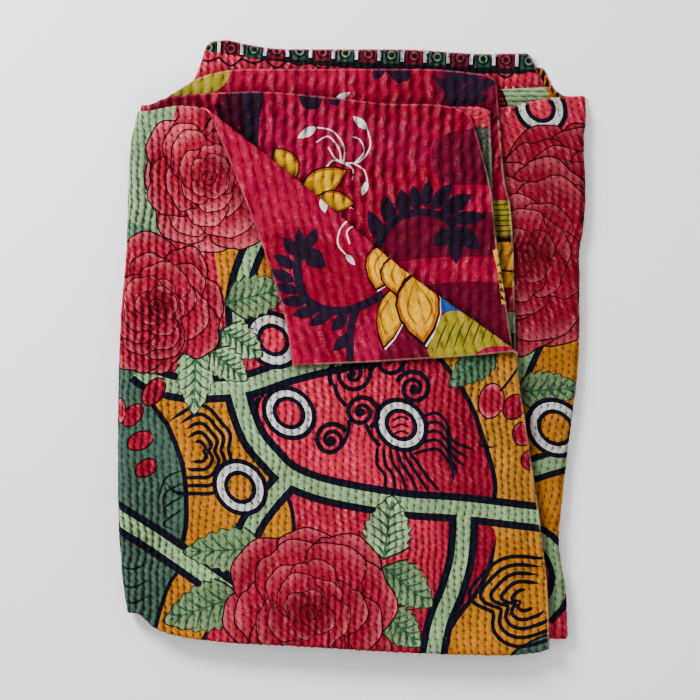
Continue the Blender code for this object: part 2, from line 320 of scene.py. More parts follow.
def half_line_table():
    """Where the half-way fold lies along the flat cloth."""
    rows = []
    for pair, number in TOP_OF_PAIR.items():
        across = np.linspace(0.0, 1.0, 60)
        y = HALVES[pair](across)
        left, right = left_end(number, y), right_end(number, y)
        rows += list(zip(along_ply("upper", number, left + (right - left) * across, y), y))
    rows.sort()
    return np.array(rows)


HALF_LINE = half_line_table()


def half_line(u):
    return np.interp(u, HALF_LINE[:, 0], HALF_LINE[:, 1])


def past_half(u, y):
    """Where the lower ply's cloth lies along the flat cloth, for places of the stack's plan."""
    return 2 * (half_line(u) + HALF_FOLD_RADIUS) - HALF_FOLD_ARC - y


UNEVEN = 0.055  # how much of the stack's height its waves add or take away


def waves(x, y):
    """Slow unevenness of the stack, from -1 to 1."""
    return (
        np.sin(x / 61.0 + y / 97.0 + 0.7) + np.sin(x / 103.0 - y / 71.0 + 2.1)
        + np.sin(y / 49.0 - x / 140.0 + 4.0)
    ) / 3.0


HALF_WAY = -4  # stands for a layer's number on the half-way fold


def middle_point(u, v):
    """The middle of the folded cloth, before the corner is turned back."""
    line = half_line(u) + HALF_FOLD_RADIUS
    upper, number = ply_point("upper", u, np.maximum(v, line))
    lower, below = ply_point("lower", u, np.maximum(2 * line - HALF_FOLD_ARC - v, line))
    angle = np.clip((line - v) / HALF_FOLD_ARC, 0.0, 1.0) * math.pi
    middle, half = (upper + lower) / 2, (upper - lower) / 2
    point = middle + half * np.cos(angle)[:, None]
    point[:, 1] = np.where(
        v >= line, upper[:, 1],
        np.where(v <= line - HALF_FOLD_ARC, lower[:, 1], line - HALF_FOLD_RADIUS * np.sin(angle)),
    )
    number = np.where(v >= line, number, np.where(v <= line - HALF_FOLD_ARC, below, HALF_WAY))
    return point, number


def line_wave(u, v, kit=np):
    """How far a line of running stitch strays from straight."""
    return (
        kit.sin(v / 12.0 + u / 60.0) * 1.0 + kit.sin(v / 5.3 + u / 23.0 + 1.3) * 0.5
        + kit.sin(v / 37.0 - u / 57.0) * 1.7 + kit.sin(u / 26.0 + v / 80.0) * 1.7
    )


def line_start(line, kit=np):
    """How far along itself a line's stitches stand, in steps."""
    return line * STITCH_OFFSET + kit.sin(line * 2.4) * 0.3


def relief(u, v, kit=np):
    """How full the cloth is between its lines of running stitch: 0 at a line, 1 at a crest."""
    phase = (u + line_wave(u, v, kit)) / STITCH_PITCH
    turn = 2 * math.pi
    cell, line = kit.floor(phase), kit.floor(phase + 0.5)
    along = v / STITCH_STEP + line_start(cell, kit)
    swing = kit.sin(along * turn) * 0.07 + kit.sin(along * (turn * 0.41) + cell * 1.9) * 0.08
    crest = kit.abs(kit.sin((phase + swing) * math.pi)) ** 0.8
    lumps = (
        kit.sin((along + 0.2) * turn) * 0.09 + kit.sin(along * (turn * 0.29) + cell * 2.3) * 0.1
        + kit.sin(along * (turn * 0.17) + cell * 4.1) * 0.06 + 0.78
    )
    along = v / STITCH_STEP + line_start(line, kit)
    along = (along - kit.floor(along + 0.5)) * (STITCH_STEP / 2.6)
    across = (phase - line) * (STITCH_PITCH / 1.7)
    pit = kit.exp((along * along + across * across) * -1.0)
    return crest * lumps - pit * 0.35


CORNER_MARGIN = 8.0
BACK_ACROSS = 1.45  # how much wider and longer the back's ridges are
BACK_ALONG = 2.4
TURNED_LEAN = 0.2  # how far the turned corner's ridges lean, for each step along them
SIXTH_ACROSS = 1.9  # how much closer layer 6's ridges lie, which run across the stack
SIXTH_ALONG = 1.6


def mirrored(u, v):
    """Places on the far side of the turned corner's fold."""
    past = corner_distance(u, v)
    return u - 2 * past * TURN_NORMAL[0], v - 2 * past * TURN_NORMAL[1]


def row_places(side, u, v, turned=None):
    """Where places of the cloth lie among the rows of stitches, and if they're on the turned corner.

    The turned corner's back is puckered across its own rows: its ridges run as those under it do.
    Layer 3's rows run straight down the stack, whatever its folds do, and layer 6's run across it.
    """
    point, number = middle_point(u.ravel(), v.ravel())
    x, y, number = (values.reshape(u.shape) for values in (point[:, 0], point[:, 1], number))
    if side > 0:
        third = number == 3
        return np.where(third, x, u), np.where(third, y, v), np.zeros(u.shape, bool)
    if turned is None:
        turned = corner_distance(u, v) > -CORNER_MARGIN
    over, sixth = mirrored(u, v), number == 6
    row_u = np.where(turned, over[0] + TURNED_LEAN * over[1], np.where(sixth, y * SIXTH_ACROSS, u))
    row_v = np.where(turned, over[1], np.where(sixth, x * SIXTH_ALONG, v))
    return row_u / BACK_ACROSS, row_v / BACK_ALONG, turned


def pucker(side, u, v):
    """How strongly the cloth is puckered at places of a face, from 0.4 to about 1.6.

    It is strongest down the left side of the front and near layer 2's end, and weakest on layer 5.
    """
    point, number = middle_point(u, v)
    x, y = point[:, 0], point[:, 1]
    strength = 0.85 + 0.15 * np.sin(u / 47.0 + 1.0) * np.sin(v / 61.0)
    if side > 0:
        strength = strength + 0.6 * smooth_step((-235.0 - x) / 40.0)
        return np.select([number == 5, number == 3], [0.4, 0.6], strength)
    strength = np.where(number == 6, 0.8, strength)
    strength = np.where(number == 2, 0.65 + 0.6 * smooth_step((y - 110.0) / 130.0), strength)
    return np.where(corner_distance(u, v) > -CORNER_MARGIN, TURNED_RELIEF, strength)


FAR = 1000.0
# Painted shade beside the edges that lie over the cloth: how far it reaches and how dark it is
SHADE_REACH = 8.0
SHADE_DEPTH = 0.45
CORNER_SHADE_DEPTH = 0.62  # on layer 2, under the turned-back corner


def bow_of(progress):
    """How far the turned corner's fold is bowed, from 0 to 1, for places along it."""
    return np.exp(-(((progress / TURN_LENGTH - TURN_BOW_CENTRE) / TURN_BOW_WIDTH) ** 2))


def painted_shade(side, u, v):
    """Painted shade: how bright places are kept beside the edges that lie over them, from 0 to 1."""
    point, number = middle_point(u, v)
    x, y = point[:, 0], point[:, 1]
    past = corner_distance(x, y)
    bow = TURN_BOW * bow_of((point[:, :2] - TURN_TOP) @ TURN_ALONG)
    gap = np.where(number == 2, past + bow, FAR)
    for over in range(3, LAYER_COUNT):
        here = number == over
        gap[here] = np.min([beyond(upper, x[here], y[here]) for upper in range(1, over)], axis=0)
    if side > 0:
        gap = np.where((number == 1) & (past < 0.0), beyond(1, *mirrored(x, y)), gap)
    depth = np.where(number == 2, CORNER_SHADE_DEPTH, SHADE_DEPTH)
    return 1.0 - depth * np.exp(-((np.maximum(gap - 1.0, 0.0) / SHADE_REACH) ** 2))


def turn_corner(point, number):
    """Fold the corner of layer 1 back over the rest of it."""
    level = LOWEST_MIDDLE + (LAYER_COUNT - 1) * LAYER_PITCH
    tangent = TURN_TOP - TURN_NORMAL * TURN_RADIUS
    plan = point[:, :2] - tangent
    distance, progress = plan @ TURN_NORMAL, plan @ TURN_ALONG
    over = point[:, 2] - level
    arc = math.pi * TURN_RADIUS
    angle = np.clip(distance, 0.0, arc) / TURN_RADIUS
    bent = np.where(distance > arc, arc - distance, (TURN_RADIUS - over) * np.sin(angle))
    bent = np.where(distance <= 0.0, distance, bent)
    settle = TURN_SETTLE * smooth_step((distance - arc) / TURN_SETTLE_REACH)
    z = level + TURN_RADIUS - (TURN_RADIUS - over) * np.cos(angle) - settle
    bent = bent - TURN_BOW * bow_of(progress) * np.exp(-((bent / TURN_BOW_REACH) ** 2))
    place = tangent + np.outer(progress, TURN_ALONG) + np.outer(bent, TURN_NORMAL)
    here = (number == 1) & (distance > -3 * TURN_BOW_REACH)
    result = point.copy()
    result[here, :2] = place[here]
    result[here, 2] = z[here]
    return result


# The solid is centred on its box; this moves the tables' frame to it
CENTRE_SHIFT = np.array((7.66, 1.50, 0.0))
SLOPE_STEP = 0.4


def placed(u, v, side, half):
    """Points of one face of the folded cloth, in metres, half a thickness from its middle."""
    middle, number = middle_point(u, v)
    along_u = middle_point(u + SLOPE_STEP, v)[0] - middle_point(u - SLOPE_STEP, v)[0]
    along_v = middle_point(u, v + SLOPE_STEP)[0] - middle_point(u, v - SLOPE_STEP)[0]
    normal = np.cross(along_u, along_v)
    normal /= np.linalg.norm(normal, axis=1)[:, None] + 1e-9
    point = turn_corner(middle + normal * (side * half)[:, None], number)
    point[:, 2] *= 1.0 + UNEVEN * waves(point[:, 0], point[:, 1])
    point[:, 2] = np.maximum(point[:, 2], FLOOR_GAP)
    return (point + CENTRE_SHIFT) * MM


# ---------------------------------------------------------------- the outline of the flat cloth
HEM_STEP = 4.0
HEM_WIDTH = 2.3
SCALLOP = 0.9


def spaced(points, step):
    """The same line with its points a step apart."""
    points = np.array(points)
    lengths = np.concatenate(([0.0], np.cumsum(np.linalg.norm(np.diff(points, axis=0), axis=1))))
    count = max(int(round(lengths[-1] / step)), 1)
    places = np.linspace(0.0, lengths[-1], count + 1)
    return np.stack([np.interp(places, lengths, points[:, axis]) for axis in (0, 1)], axis=1)


def end_hem_line(ply):
    """One ply's end hem along the flat cloth, from layers 1 and 2 to layers 3 and 4."""
    rows = []
    for order, number in enumerate(PLY_LAYERS[ply]):
        across = np.linspace(0.0, 1.0, 160)
        if order % 2 == 0:
            across = across[::-1]
        y = HEMS[number](across)
        x = left_end(number, y) + (right_end(number, y) - left_end(number, y)) * across
        u, v = flat_of(number, x, y)
        if rows:
            share = np.linspace(0.0, 1.0, 16)[1:-1]
            turn_u, turn_y = last_u + (u[0] - last_u) * share, last_y + (y[0] - last_y) * share
            rows += list(zip(turn_u, turn_y if ply == "upper" else past_half(turn_u, turn_y)))
        rows += list(zip(u, v))
        last_u, last_y = u[-1], y[-1]
    return rows


def side_hem_line(number):
    """A side hem along the flat cloth, from its end hem to the half-way fold."""
    half_way = float(HALVES[LAYERS[number].pair](1.0)) + HALF_FOLD_RADIUS
    y = np.linspace(float(HEMS[number](1.0)), half_way, 120)
    return list(zip(*flat_of(number, right_end(number, y), y)))


def cloth_outline():
    """The closed outline of the flat cloth, anticlockwise from the corner of layer 1."""
    line = end_hem_line("upper") + side_hem_line(4) + side_hem_line(3)[::-1]
    line += end_hem_line("lower")[::-1] + side_hem_line(2) + side_hem_line(1)[::-1]
    line.append(line[0])
    points = spaced(line, HEM_STEP)[:-1]
    ahead, behind = np.roll(points, -1, axis=0), np.roll(points, 1, axis=0)
    tangent = ahead - behind
    tangent /= np.linalg.norm(tangent, axis=1)[:, None] + 1e-9
    inward = np.stack((-tangent[:, 1], tangent[:, 0]), axis=1)
    phase = (points[:, 0] + line_wave(points[:, 0], points[:, 1])) / STITCH_PITCH
    scallop = SCALLOP * (1.0 - np.abs(np.sin(math.pi * phase))) * np.abs(inward[:, 1])
    points = points + inward * scallop[:, None]
    return points, points + inward * HEM_WIDTH


def inside(points, outline):
    """Which points lie inside a closed outline: only those in its box are tested."""
    low, high = outline.min(axis=0), outline.max(axis=0)
    near = np.flatnonzero(((points >= low) & (points <= high)).all(axis=1))
    x, y = points[near].T
    within = np.zeros(len(near), bool)
    for (x0, y0), (x1, y1) in zip(outline, np.roll(outline, -1, axis=0)):
        if y0 != y1:
            crosses = (y0 > y) != (y1 > y)
            within ^= crosses & (x < (x1 - x0) * (y - y0) / (y1 - y0) + x0)
    result = np.zeros(len(points), bool)
    result[near] = within
    return result


# ---------------------------------------------------------------- the print's drawing kit
# Charts are drawn in millimetres, to the right of and down from the middle of the stack's plan.
CURVE_STEP = 4.0
WIDE_STEP = 8.0

Shape = namedtuple("Shape", "outline colour rim focus reach streak tone")


def smooth_loop(points, step=CURVE_STEP, closed=True):
    """A smooth line through points of a chart."""
    points = np.array(points, float)
    count = len(points)
    result = []
    for index in range(count if closed else count - 1):
        if closed:
            p0, p1, p2, p3 = (points[(index + k - 1) % count] for k in range(4))
        else:
            p0, p1, p2, p3 = (points[min(max(index + k - 1, 0), count - 1)] for k in range(4))
        steps = max(int(np.linalg.norm(p2 - p1) / step), 1)
        for t in np.arange(steps) / steps:
            result.append(0.5 * (
                2 * p1 + (p2 - p0) * t + (2 * p0 - 5 * p1 + 4 * p2 - p3) * t ** 2
                + (3 * p1 - p0 - 3 * p2 + p3) * t ** 3
            ))
    if not closed:
        result.append(points[-1])
    return np.array(result)


def ribbon(points, start_width, end_width=None, taper=0.0):
    """The outline of a band along a line."""
    points = np.array(points, float)
    end_width = start_width if end_width is None else end_width
    tangent = np.gradient(points, axis=0)
    tangent /= np.linalg.norm(tangent, axis=1)[:, None] + 1e-9
    normal = np.stack((-tangent[:, 1], tangent[:, 0]), axis=1)
    t = np.linspace(0.0, 1.0, len(points))
    width = start_width + (end_width - start_width) * t
    if taper:
        width = width * np.minimum(1.0, np.minimum(t, 1.0 - t) / taper + 0.12)
    return np.concatenate((points + normal * width[:, None] / 2,
                           (points - normal * width[:, None] / 2)[::-1]))


def oval(column, row, wide, high, steps=16, lean=0.0):
    """A closed oval about a place, leaning by some degrees."""
    angles = np.radians(np.linspace(0, 360, steps + 1))[:-1]
    turn = np.radians(lean)
    spin = np.array(((math.cos(turn), math.sin(turn)), (-math.sin(turn), math.cos(turn))))
    return np.stack((wide * np.cos(angles), high * np.sin(angles)), axis=1) @ spin + (column, row)


class Chart:
    """Shapes for one face of one layer, in painter's order."""

    # A tone below 1 darkens all of a chart's shapes: painted shade on the layers lower in the stack
    def __init__(self, tone=1.0):
        self.tone = tone
        self.shapes = []

    def add(self, outline, colour, rim=None, focus=None, reach=1.0, streak=0.0):
        rim = colour if rim is None else rim
        focus = np.mean(outline, axis=0) if focus is None else focus
        outline = np.array(outline, float)
        self.shapes.append(Shape(outline, colour, rim, focus, reach, streak, self.tone))

    def field(self, points, colour, streak=0.5, edge=0.0, rim=None, focus=None, reach=1.0):
        """A patch with a smooth edge; it may fade into a second colour away from a place."""
        outline = smooth_loop(points, WIDE_STEP)
        if edge:
            self.line(np.vstack((outline, outline[:1])), edge, "navy")
        self.add(outline, colour, rim, focus, reach, streak)

    def fields(self, *rows):
        """Patches, each with its points, colour and streakiness, and the width of any dark edge."""
        for points, colour, streak, *edge in rows:
            self.field(points, colour, streak, *edge)

    def line(self, points, width, colour="navy", taper=0.0, end_width=None):
        self.add(ribbon(points, width, end_width, taper), colour)

    def stroke(self, points, width, colour="navy", taper=0.0, end_width=None):
        """A line that runs smoothly through its points."""
        self.line(smooth_loop(points, closed=False), width, colour, taper, end_width)

    def bands(self, *stems, edge=10.0):
        """Stems that join: all their dark edges lie under all their middles."""
        centres = [(smooth_loop(points, WIDE_STEP, closed=False), width) for points, width in stems]
        for centre, width in centres:
            self.add(ribbon(centre, width + 2 * edge), "navy")
        for centre, width in centres:
            self.add(ribbon(centre, width), "sage", streak=0.08)

    def ring(self, column, row, outer, inner, centre, lean, edge=6.6, inner_edge=6.0):
        """A white ring with a dark edge on both sides, about a centre of its own colour."""
        for radius, colour in ((outer + edge, "navy"), (outer, "ring"), (inner, "navy"),
                               (inner - inner_edge, centre)):
            loop = oval(column, row, 1.06 * radius, 0.9 * radius, max(int(radius), 12), lean)
            self.add(loop, colour, streak=0.5 if colour == centre else 0.0)

    def spiral(self, column, row, radius, turns, start, hand, width=6.7):
        """A dark line that winds in, clockwise or, with hand -1, the other way, to a dot."""
        t = np.linspace(0.0, 1.0, int(20 * turns))
        angle = np.radians(start) + hand * 2 * math.pi * turns * t
        reach = radius * (1.0 - 0.84 * t)
        line = np.stack((column + reach * np.cos(angle), row + reach * np.sin(angle)), axis=1)
        self.line(line, width, "navy", end_width=width * 0.8)
        self.add(oval(column, row, width * 0.85, width * 0.85, 8), "navy")

    def berry(self, column, row, wide, high, lean):
        """A round or long berry with a dark outline."""
        loop = oval(column, row, wide, high, lean=lean)
        self.line(np.vstack((loop, loop[:2])), 4.0, "rose_line")
        self.add(loop, "rose", rim="rose_rim", focus=(column, row), reach=wide * 1.25, streak=0.2)

    def draw(self, *motifs):
        """Roses, leaves, rings and the like, each laid over those before it."""
        drawn = {Rose: self.rose, Leaf: self.leaf, Ring: self.ring, Blade: self.blade,
                 Berry: self.berry, Spiral: self.spiral}
        for motif in motifs:
            drawn[type(motif)](*motif)

    def contours(self, column, row, width, depth, count, seed, open_to):
        """Wandering lines round one another, like the grain of wood, open on one side."""
        rng = random.Random(seed)
        waves_of = [(rng.uniform(0.03, 0.07), rng.uniform(0, 6.3), n) for n in (3, 5)]
        for index in range(count):
            share = (index + 1.2) / (count + 0.4)
            gap = 62.0 - 26.0 * share + rng.uniform(-8, 8)
            angles = np.radians(np.arange(gap, 360.0 - gap + rng.uniform(-12, 12), 7.0))
            dent = (0.62 - 0.3 * share) * np.exp(-(((angles - math.pi + 0.15) / 0.34) ** 2))
            radius = share * (1.0 - dent + sum(a * np.sin(n * angles + p) for a, p, n in waves_of))
            angles = angles + math.radians(open_to)
            line = np.stack((width * radius * np.cos(angles), depth * radius * np.sin(angles)), axis=1)
            self.line(line + (column, row), 5.3, taper=0.08)

    def rose(self, column, row, radius, seed, squash=1.0):
        """Rings of lobed petals, each over the last, about a curled heart."""
        rng = random.Random(seed)
        rings = ((1.0, 8, 0.46), (0.80, 6, 0.44), (0.61, 5, 0.38), (0.43, 5, 0.29), (0.28, 4, 0.2))
        for order, (place, count, size) in enumerate(rings):
            offset = rng.uniform(0, 360)
            for index in range(count):
                heading = math.radians(offset + 360 * (index + rng.uniform(-0.2, 0.2)) / count)
                grow = rng.uniform(0.82, 1.18)
                reach = radius * (place * rng.uniform(0.95, 1.05) - size * 0.55)
                middle = np.array((reach * math.cos(heading), reach * math.sin(heading)))
                self.petal(column, row, middle, heading, radius * size * grow, squash, order, rng)
        heart = radius * 0.15
        self.add(smooth_loop(oval(column, row, heart, squash * heart, 8), 2.7), "rose_deep", rim="rose",
                 focus=(column, row), reach=heart * 1.3, streak=0.15)
        t = np.linspace(0, 1, 20)
        angle = rng.uniform(0, 6.3) + 2 * math.pi * 1.4 * t
        curl = heart * (1.05 - 0.8 * t)
        line = np.stack((column + curl * np.cos(angle), row + squash * curl * np.sin(angle)), axis=1)
        self.line(line, 1.6, "rose_line")

    def petal(self, column, row, middle, heading, size, squash, order, rng):
        """A petal of two or three lobes, with a dark line round its outer edge."""
        outward = np.array((math.cos(heading), math.sin(heading)))
        beside = np.array((-outward[1], outward[0]))
        wide, deep = size * rng.uniform(0.95, 1.2), size * rng.uniform(0.8, 1.0)
        notches, shift = rng.choice((1.0, 1.5, 1.5, 2.0)), rng.uniform(-0.5, 0.5)
        angles = np.radians(np.arange(-180, 180, 12))
        cusp = 1.0 - np.abs(np.cos(notches * (angles + shift))) ** 0.7
        lobe = 1.0 - 0.17 * cusp * (np.abs(angles) < 1.7) + 0.03 * np.sin(7 * angles + heading * 3)
        outline = (middle + np.outer(deep * lobe * np.cos(angles), outward)
                   + np.outer(wide * lobe * np.sin(angles), beside))
        outline = outline * (1.0, squash) + (column, row)
        focus = (middle - outward * deep * 1.1) * (1.0, squash) + (column, row)
        self.add(outline, "rose_deep" if order == 4 else "rose", rim="rose_rim", focus=focus,
                 reach=deep * 2.25, streak=0.3)
        self.line(outline[np.abs(angles) < 2.1], 2.0 - 0.16 * order, "rose_line")

    def leaf(self, column, row, tip_column, tip_row, width, tone="sage_light", teeth=7):
        """A leaf with a finely notched edge and dark veins."""
        base, tip = np.array((column, row), float), np.array((tip_column, tip_row), float)
        along = tip - base
        length = np.linalg.norm(along)
        along /= length
        beside = np.array((-along[1], along[0]))
        halves = []
        for hand in (1, -1):
            edge = [base]
            for index in range(1, teeth):
                for t, out in ((index / teeth, 0.43), ((index + 0.72) / teeth, 0.52)):
                    swell = math.sin(math.pi * min(t, 1.0) ** 0.72) ** 0.75
                    edge.append(base + along * t * length + beside * hand * width * out * swell)
            halves.append(edge + [tip])
        outline = np.array(halves[0] + halves[1][-2:0:-1])
        centre = outline.mean(axis=0)
        grown = centre + (outline - centre) * (1.0 + 4.0 / length + 0.02)
        self.add(grown, "leaf_line")
        self.add(outline, tone, rim="sage_light", focus=base, reach=length * 1.15, streak=0.05)
        self.add(ribbon(np.linspace(base, tip - along * length * 0.08, 9), 3.5, 1.2), "leaf_dark")
        for index in range(1, teeth):
            t = index / teeth
            root = base + along * length * (t - 0.08)
            for hand in (1, -1):
                out = width / 2 * math.sin(math.pi * t ** 0.8) ** 0.8 * 0.78
                end = root + along * length * 0.16 + beside * hand * out
                bend = (root + end) / 2 + along * length * 0.02
                vein = smooth_loop([root, bend, end], 6.7, closed=False)
                self.line(vein, 4.5, "leaf_dark", end_width=1.1)

    def blade(self, column, row, tip_column, tip_row, width, colour="plum", rim=None):
        """A plain pointed leaf or petal."""
        base, tip = np.array((column, row), float), np.array((tip_column, tip_row), float)
        along = tip - base
        beside = np.array((-along[1], along[0])) / (np.linalg.norm(along) + 1e-9)
        side = [(t, width / 2 * math.sin(math.pi * t ** 0.85) ** 0.8)
                for t in (0.08, 0.22, 0.4, 0.6, 0.8)]
        outline = [base] + [base + along * t + beside * w for t, w in side] + [tip]
        outline += [base + along * t - beside * w for t, w in reversed(side)]
        self.add(outline, colour, rim=rim, focus=base, reach=np.linalg.norm(along))

    def blades(self, blades, colour="plum"):
        for blade in blades:
            self.blade(*blade, colour)

    def lily(self, petals, spill, widths, lit):
        """Yellow petals on orange ones with a dark edge, and a white edge and veins where lit."""
        for petal in petals:
            base, tip = np.array(petal[:2], float), np.array(petal[2:4], float)
            past = (tip - base) * spill
            if lit:
                self.blade(*(base - past), *(tip + past + (3.3, 0)), petal.width * 1.06, "white")
            self.blade(*(base - past), *(tip + past), petal.width * widths[0], "plum_dark")
            self.blade(*base, *tip, petal.width * widths[1], "orange")
            self.blade(*base, *(tip - past), petal.width * widths[2], "yellow", rim="amber")
            for share in (-0.2, 0.16) if lit else ():
                bend = np.array((base[1] - tip[1], tip[0] - base[0])) * share
                self.stroke([base + past, (base + tip) / 2 + bend, tip - past * 3], 2.7, "orange",
                            taper=0.4)

    def curl(self, points, tip):
        """A thin curling stem, with a leaf at its end if it has a tip."""
        line = smooth_loop(points, closed=False)
        self.line(line, 2.3, "white", end_width=1.6)
        if tip:
            self.blade(*line[-1], *tip, 0.42 * math.dist(line[-1], tip), "white")


# ---------------------------------------------------------------- the charts
Rose = namedtuple("Rose", "column row radius seed squash")
Leaf = namedtuple("Leaf", "column row tip_column tip_row width tone", defaults=("sage_light",))
Ring = namedtuple("Ring", "column row outer inner centre lean")
Blade = namedtuple("Blade", "column row tip_column tip_row width")
Berry = namedtuple("Berry", "column row wide high lean")
Spiral = namedtuple("Spiral", "column row radius turns start hand")

# The border along layer 7's end hem
BORDER_TOP = -405.0
BORDER_SLOPE = 0.042
BORDER_DEPTH = 28.0
BORDER_START = -276.0
BORDER_STEP = 30.6
BORDER_SQUARES = 20


def front_chart():
    """Layer 1 as it lies face up: roses and leaves among banded stems."""
    chart = Chart()
    chart.fields(
        ([(-396, -354), (-247, -340), (-263, -261), (-265, -188), (-276, -101), (-396, -101)],
         "sage_pale", 0.08),
        ([(-396, -157), (-287, -160), (-276, -101), (-313, -21), (-396, -21)], "green_mid", 0.03),
        ([(-190, -188), (-127, -188), (-116, -61), (-175, -61)], "ochre", 0.05),
        ([(-396, 27), (-305, 27), (-273, 68), (-247, 109), (-228, 165), (-224, 231), (-233, 293),
          (-241, 338), (-276, 458), (-396, 458)], "green_dark", 0.03),
        ([(-268, 64), (-162, 64), (-135, 125), (-98, 186), (-116, 231), (-156, 293), (-227, 285),
          (-224, 231), (-228, 165), (-247, 109)], "ochre", 0.06, 13.3),
        ([(-148, 231), (-95, 205), (-95, 293), (-170, 301)], "ochre", 0.06, 10.6),
        ([(-263, 364), (-236, 303), (-191, 325), (-209, 391), (-276, 458)], "ochre", 0.06, 10.6),
        ([(96, -8), (349, -21), (349, 458), (96, 458), (126, 378), (166, 322), (182, 279), (184, 218),
          (168, 120), (136, 56)], "ochre", 0.06, 13.3),
        ([(110, -3), (349, -21), (349, 253), (183, 253), (186, 218), (168, 120), (136, 56)],
         "ochre_pale", 0.06),
        ([(203, 418), (224, 399), (264, 388), (277, 444), (203, 458)], "green_dark", 0.0, 6.7),
    )
    chart.field([(-127, 69), (-76, 35), (-2, 13), (88, 8), (131, 51), (160, 112), (176, 205), (83, 213),
                 (-23, 202), (-90, 170), (-127, 125)], "crimson_light", 0.7, 13.3, "crimson_side",
                (-369, 125), 499)
    chart.field([(62, 237), (176, 239), (174, 285), (158, 322), (123, 370), (88, 458), (46, 458)],
                "crimson_light", 0.45, 0.0, "crimson_side", (-143, 231), 286)
    for row in (293, 317, 338):
        chart.stroke([(-324, row - 5), (-300, row + 4), (-276, row - 7)], 2.9, "green_line", taper=0.3)
    for index in range(4):
        chart.stroke([(-231, 165 + 17 * index), (-255 - index, 176 + 20 * index),
                      (-265 + 7 * index, 205 + 13 * index)], 2.9, "green_line", taper=0.3)
    chart.contours(-211, 141, 53, 61, 5, 5, 184)
    chart.contours(222, 338, 74, 62, 5, 3, -14)
    for index in range(6):
        chart.stroke([(27 + 8 * index, 133 + index), (26 + 11 * index, 157), (37 + 11 * index, 173),
                      (35 + 15 * index, 194)], 4.5, taper=0.12)
    for index in range(5):
        down = 12 * index
        chart.stroke([(84 - 3 * index, 96 + down), (104, 89 + down), (118, 101 + down),
                      (126, 125 + 0.8 * down), (155 - 7 * index, 138 + 0.9 * down)], 4.5, taper=0.12)
    chart.bands(
        ([(-127, -152), (-146, -112), (-159, -61), (-156, -8)], 14.6),
        ([(-167, -21), (-170, 21), (-162, 59)], 16.0),
        ([(-292, 32), (-273, 45), (-233, 56), (-180, 56), (-143, 51), (-90, 33), (-37, 20), (30, 8)],
         17.3),
        ([(-162, 51), (-152, 88), (-138, 122), (-116, 149), (-90, 173), (-37, 193), (59, 210),
          (150, 217), (323, 239)], 18.6),
        ([(-90, 174), (-122, 210), (-143, 242), (-159, 285)], 17.3),
        ([(142, 218), (138, 279), (126, 325), (107, 375), (94, 458)], 18.6),
        ([(-356, 205), (-289, 246), (-241, 278), (-167, 330)], 18.6),
    )
    chart.draw(Ring(-112, -8, 33.2, 22.6, "crimson_light", 45),
               Ring(-91, 89, 30.6, 22.6, "crimson_light", 45), Ring(-156, 188, 31.9, 22.6, "ochre", 50),
               Ring(58, 105, 30.6, 22.6, "crimson_light", 45))
    for row in (98, 108, 117):
        chart.stroke([(47, row + 1), (58, row - 4), (68, row)], 2.9)
    chart.draw(Spiral(42, 19, 28, 1.5, 200, 1), Spiral(-7, 37, 31, 2.1, 150, 1),
               Spiral(5, 88, 24, 1.9, 60, -1), Spiral(-35, 125, 23, 1.9, 330, -1),
               Spiral(75, 56, 24, 1.9, 200, 1))
    for points in ([(-31, 51), (-26, 66), (-15, 80)], [(-11, 98), (-13, 117), (-21, 133)],
                   [(11, 104), (19, 120), (30, 133)], [(18, 32), (25, 24)], [(62, 35), (59, 27)]):
        chart.stroke(points, 5.6)
    chart.draw(Berry(-271, 61, 20, 12, -55), Berry(-299, 92, 17, 10, -50), Berry(-317, 86, 8, 16, 0),
               Berry(-289, 126, 17, 11, -25), Berry(-281, 162, 15, 10, -30), Berry(-295, 20, 12, 12, 0),
               Berry(-263, 21, 12, 12, 0), Berry(178, 73, 16, 23, 12), Berry(208, 81, 17, 13, -60),
               Berry(219, 117, 12, 15, 0), Berry(229, 152, 11, 12, 0))
    chart.stroke([(215, 27), (200, 48), (190, 60)], 3.5)
    chart.stroke([(158, 126), (168, 134), (184, 134)], 2.7, taper=0.3)
    chart.draw(Leaf(-175, -56, -87, -80, 56, "leaf_deep"), Leaf(-180, -21, -127, 13, 48),
               Leaf(-215, 0, -217, 90, 51), Leaf(-194, 8, -148, 45, 43),
               Leaf(-124, 269, -231, 274, 59, "leaf_deep"), Leaf(-156, 332, -257, 367, 66, "leaf_deep"),
               Leaf(35, 282, 46, 200, 64), Leaf(35, 295, 99, 346, 59, "leaf_deep"),
               Leaf(35, 354, 83, 399, 51, "leaf_deep"), Leaf(182, 3, 123, 53, 45, "leaf_green"))
    chart.draw(Rose(-199, -225, 78, 3, 1.17), Rose(-267, -53, 82, 8, 1.0), Rose(-63, 356, 105, 14, 1.0))
    return chart.shapes


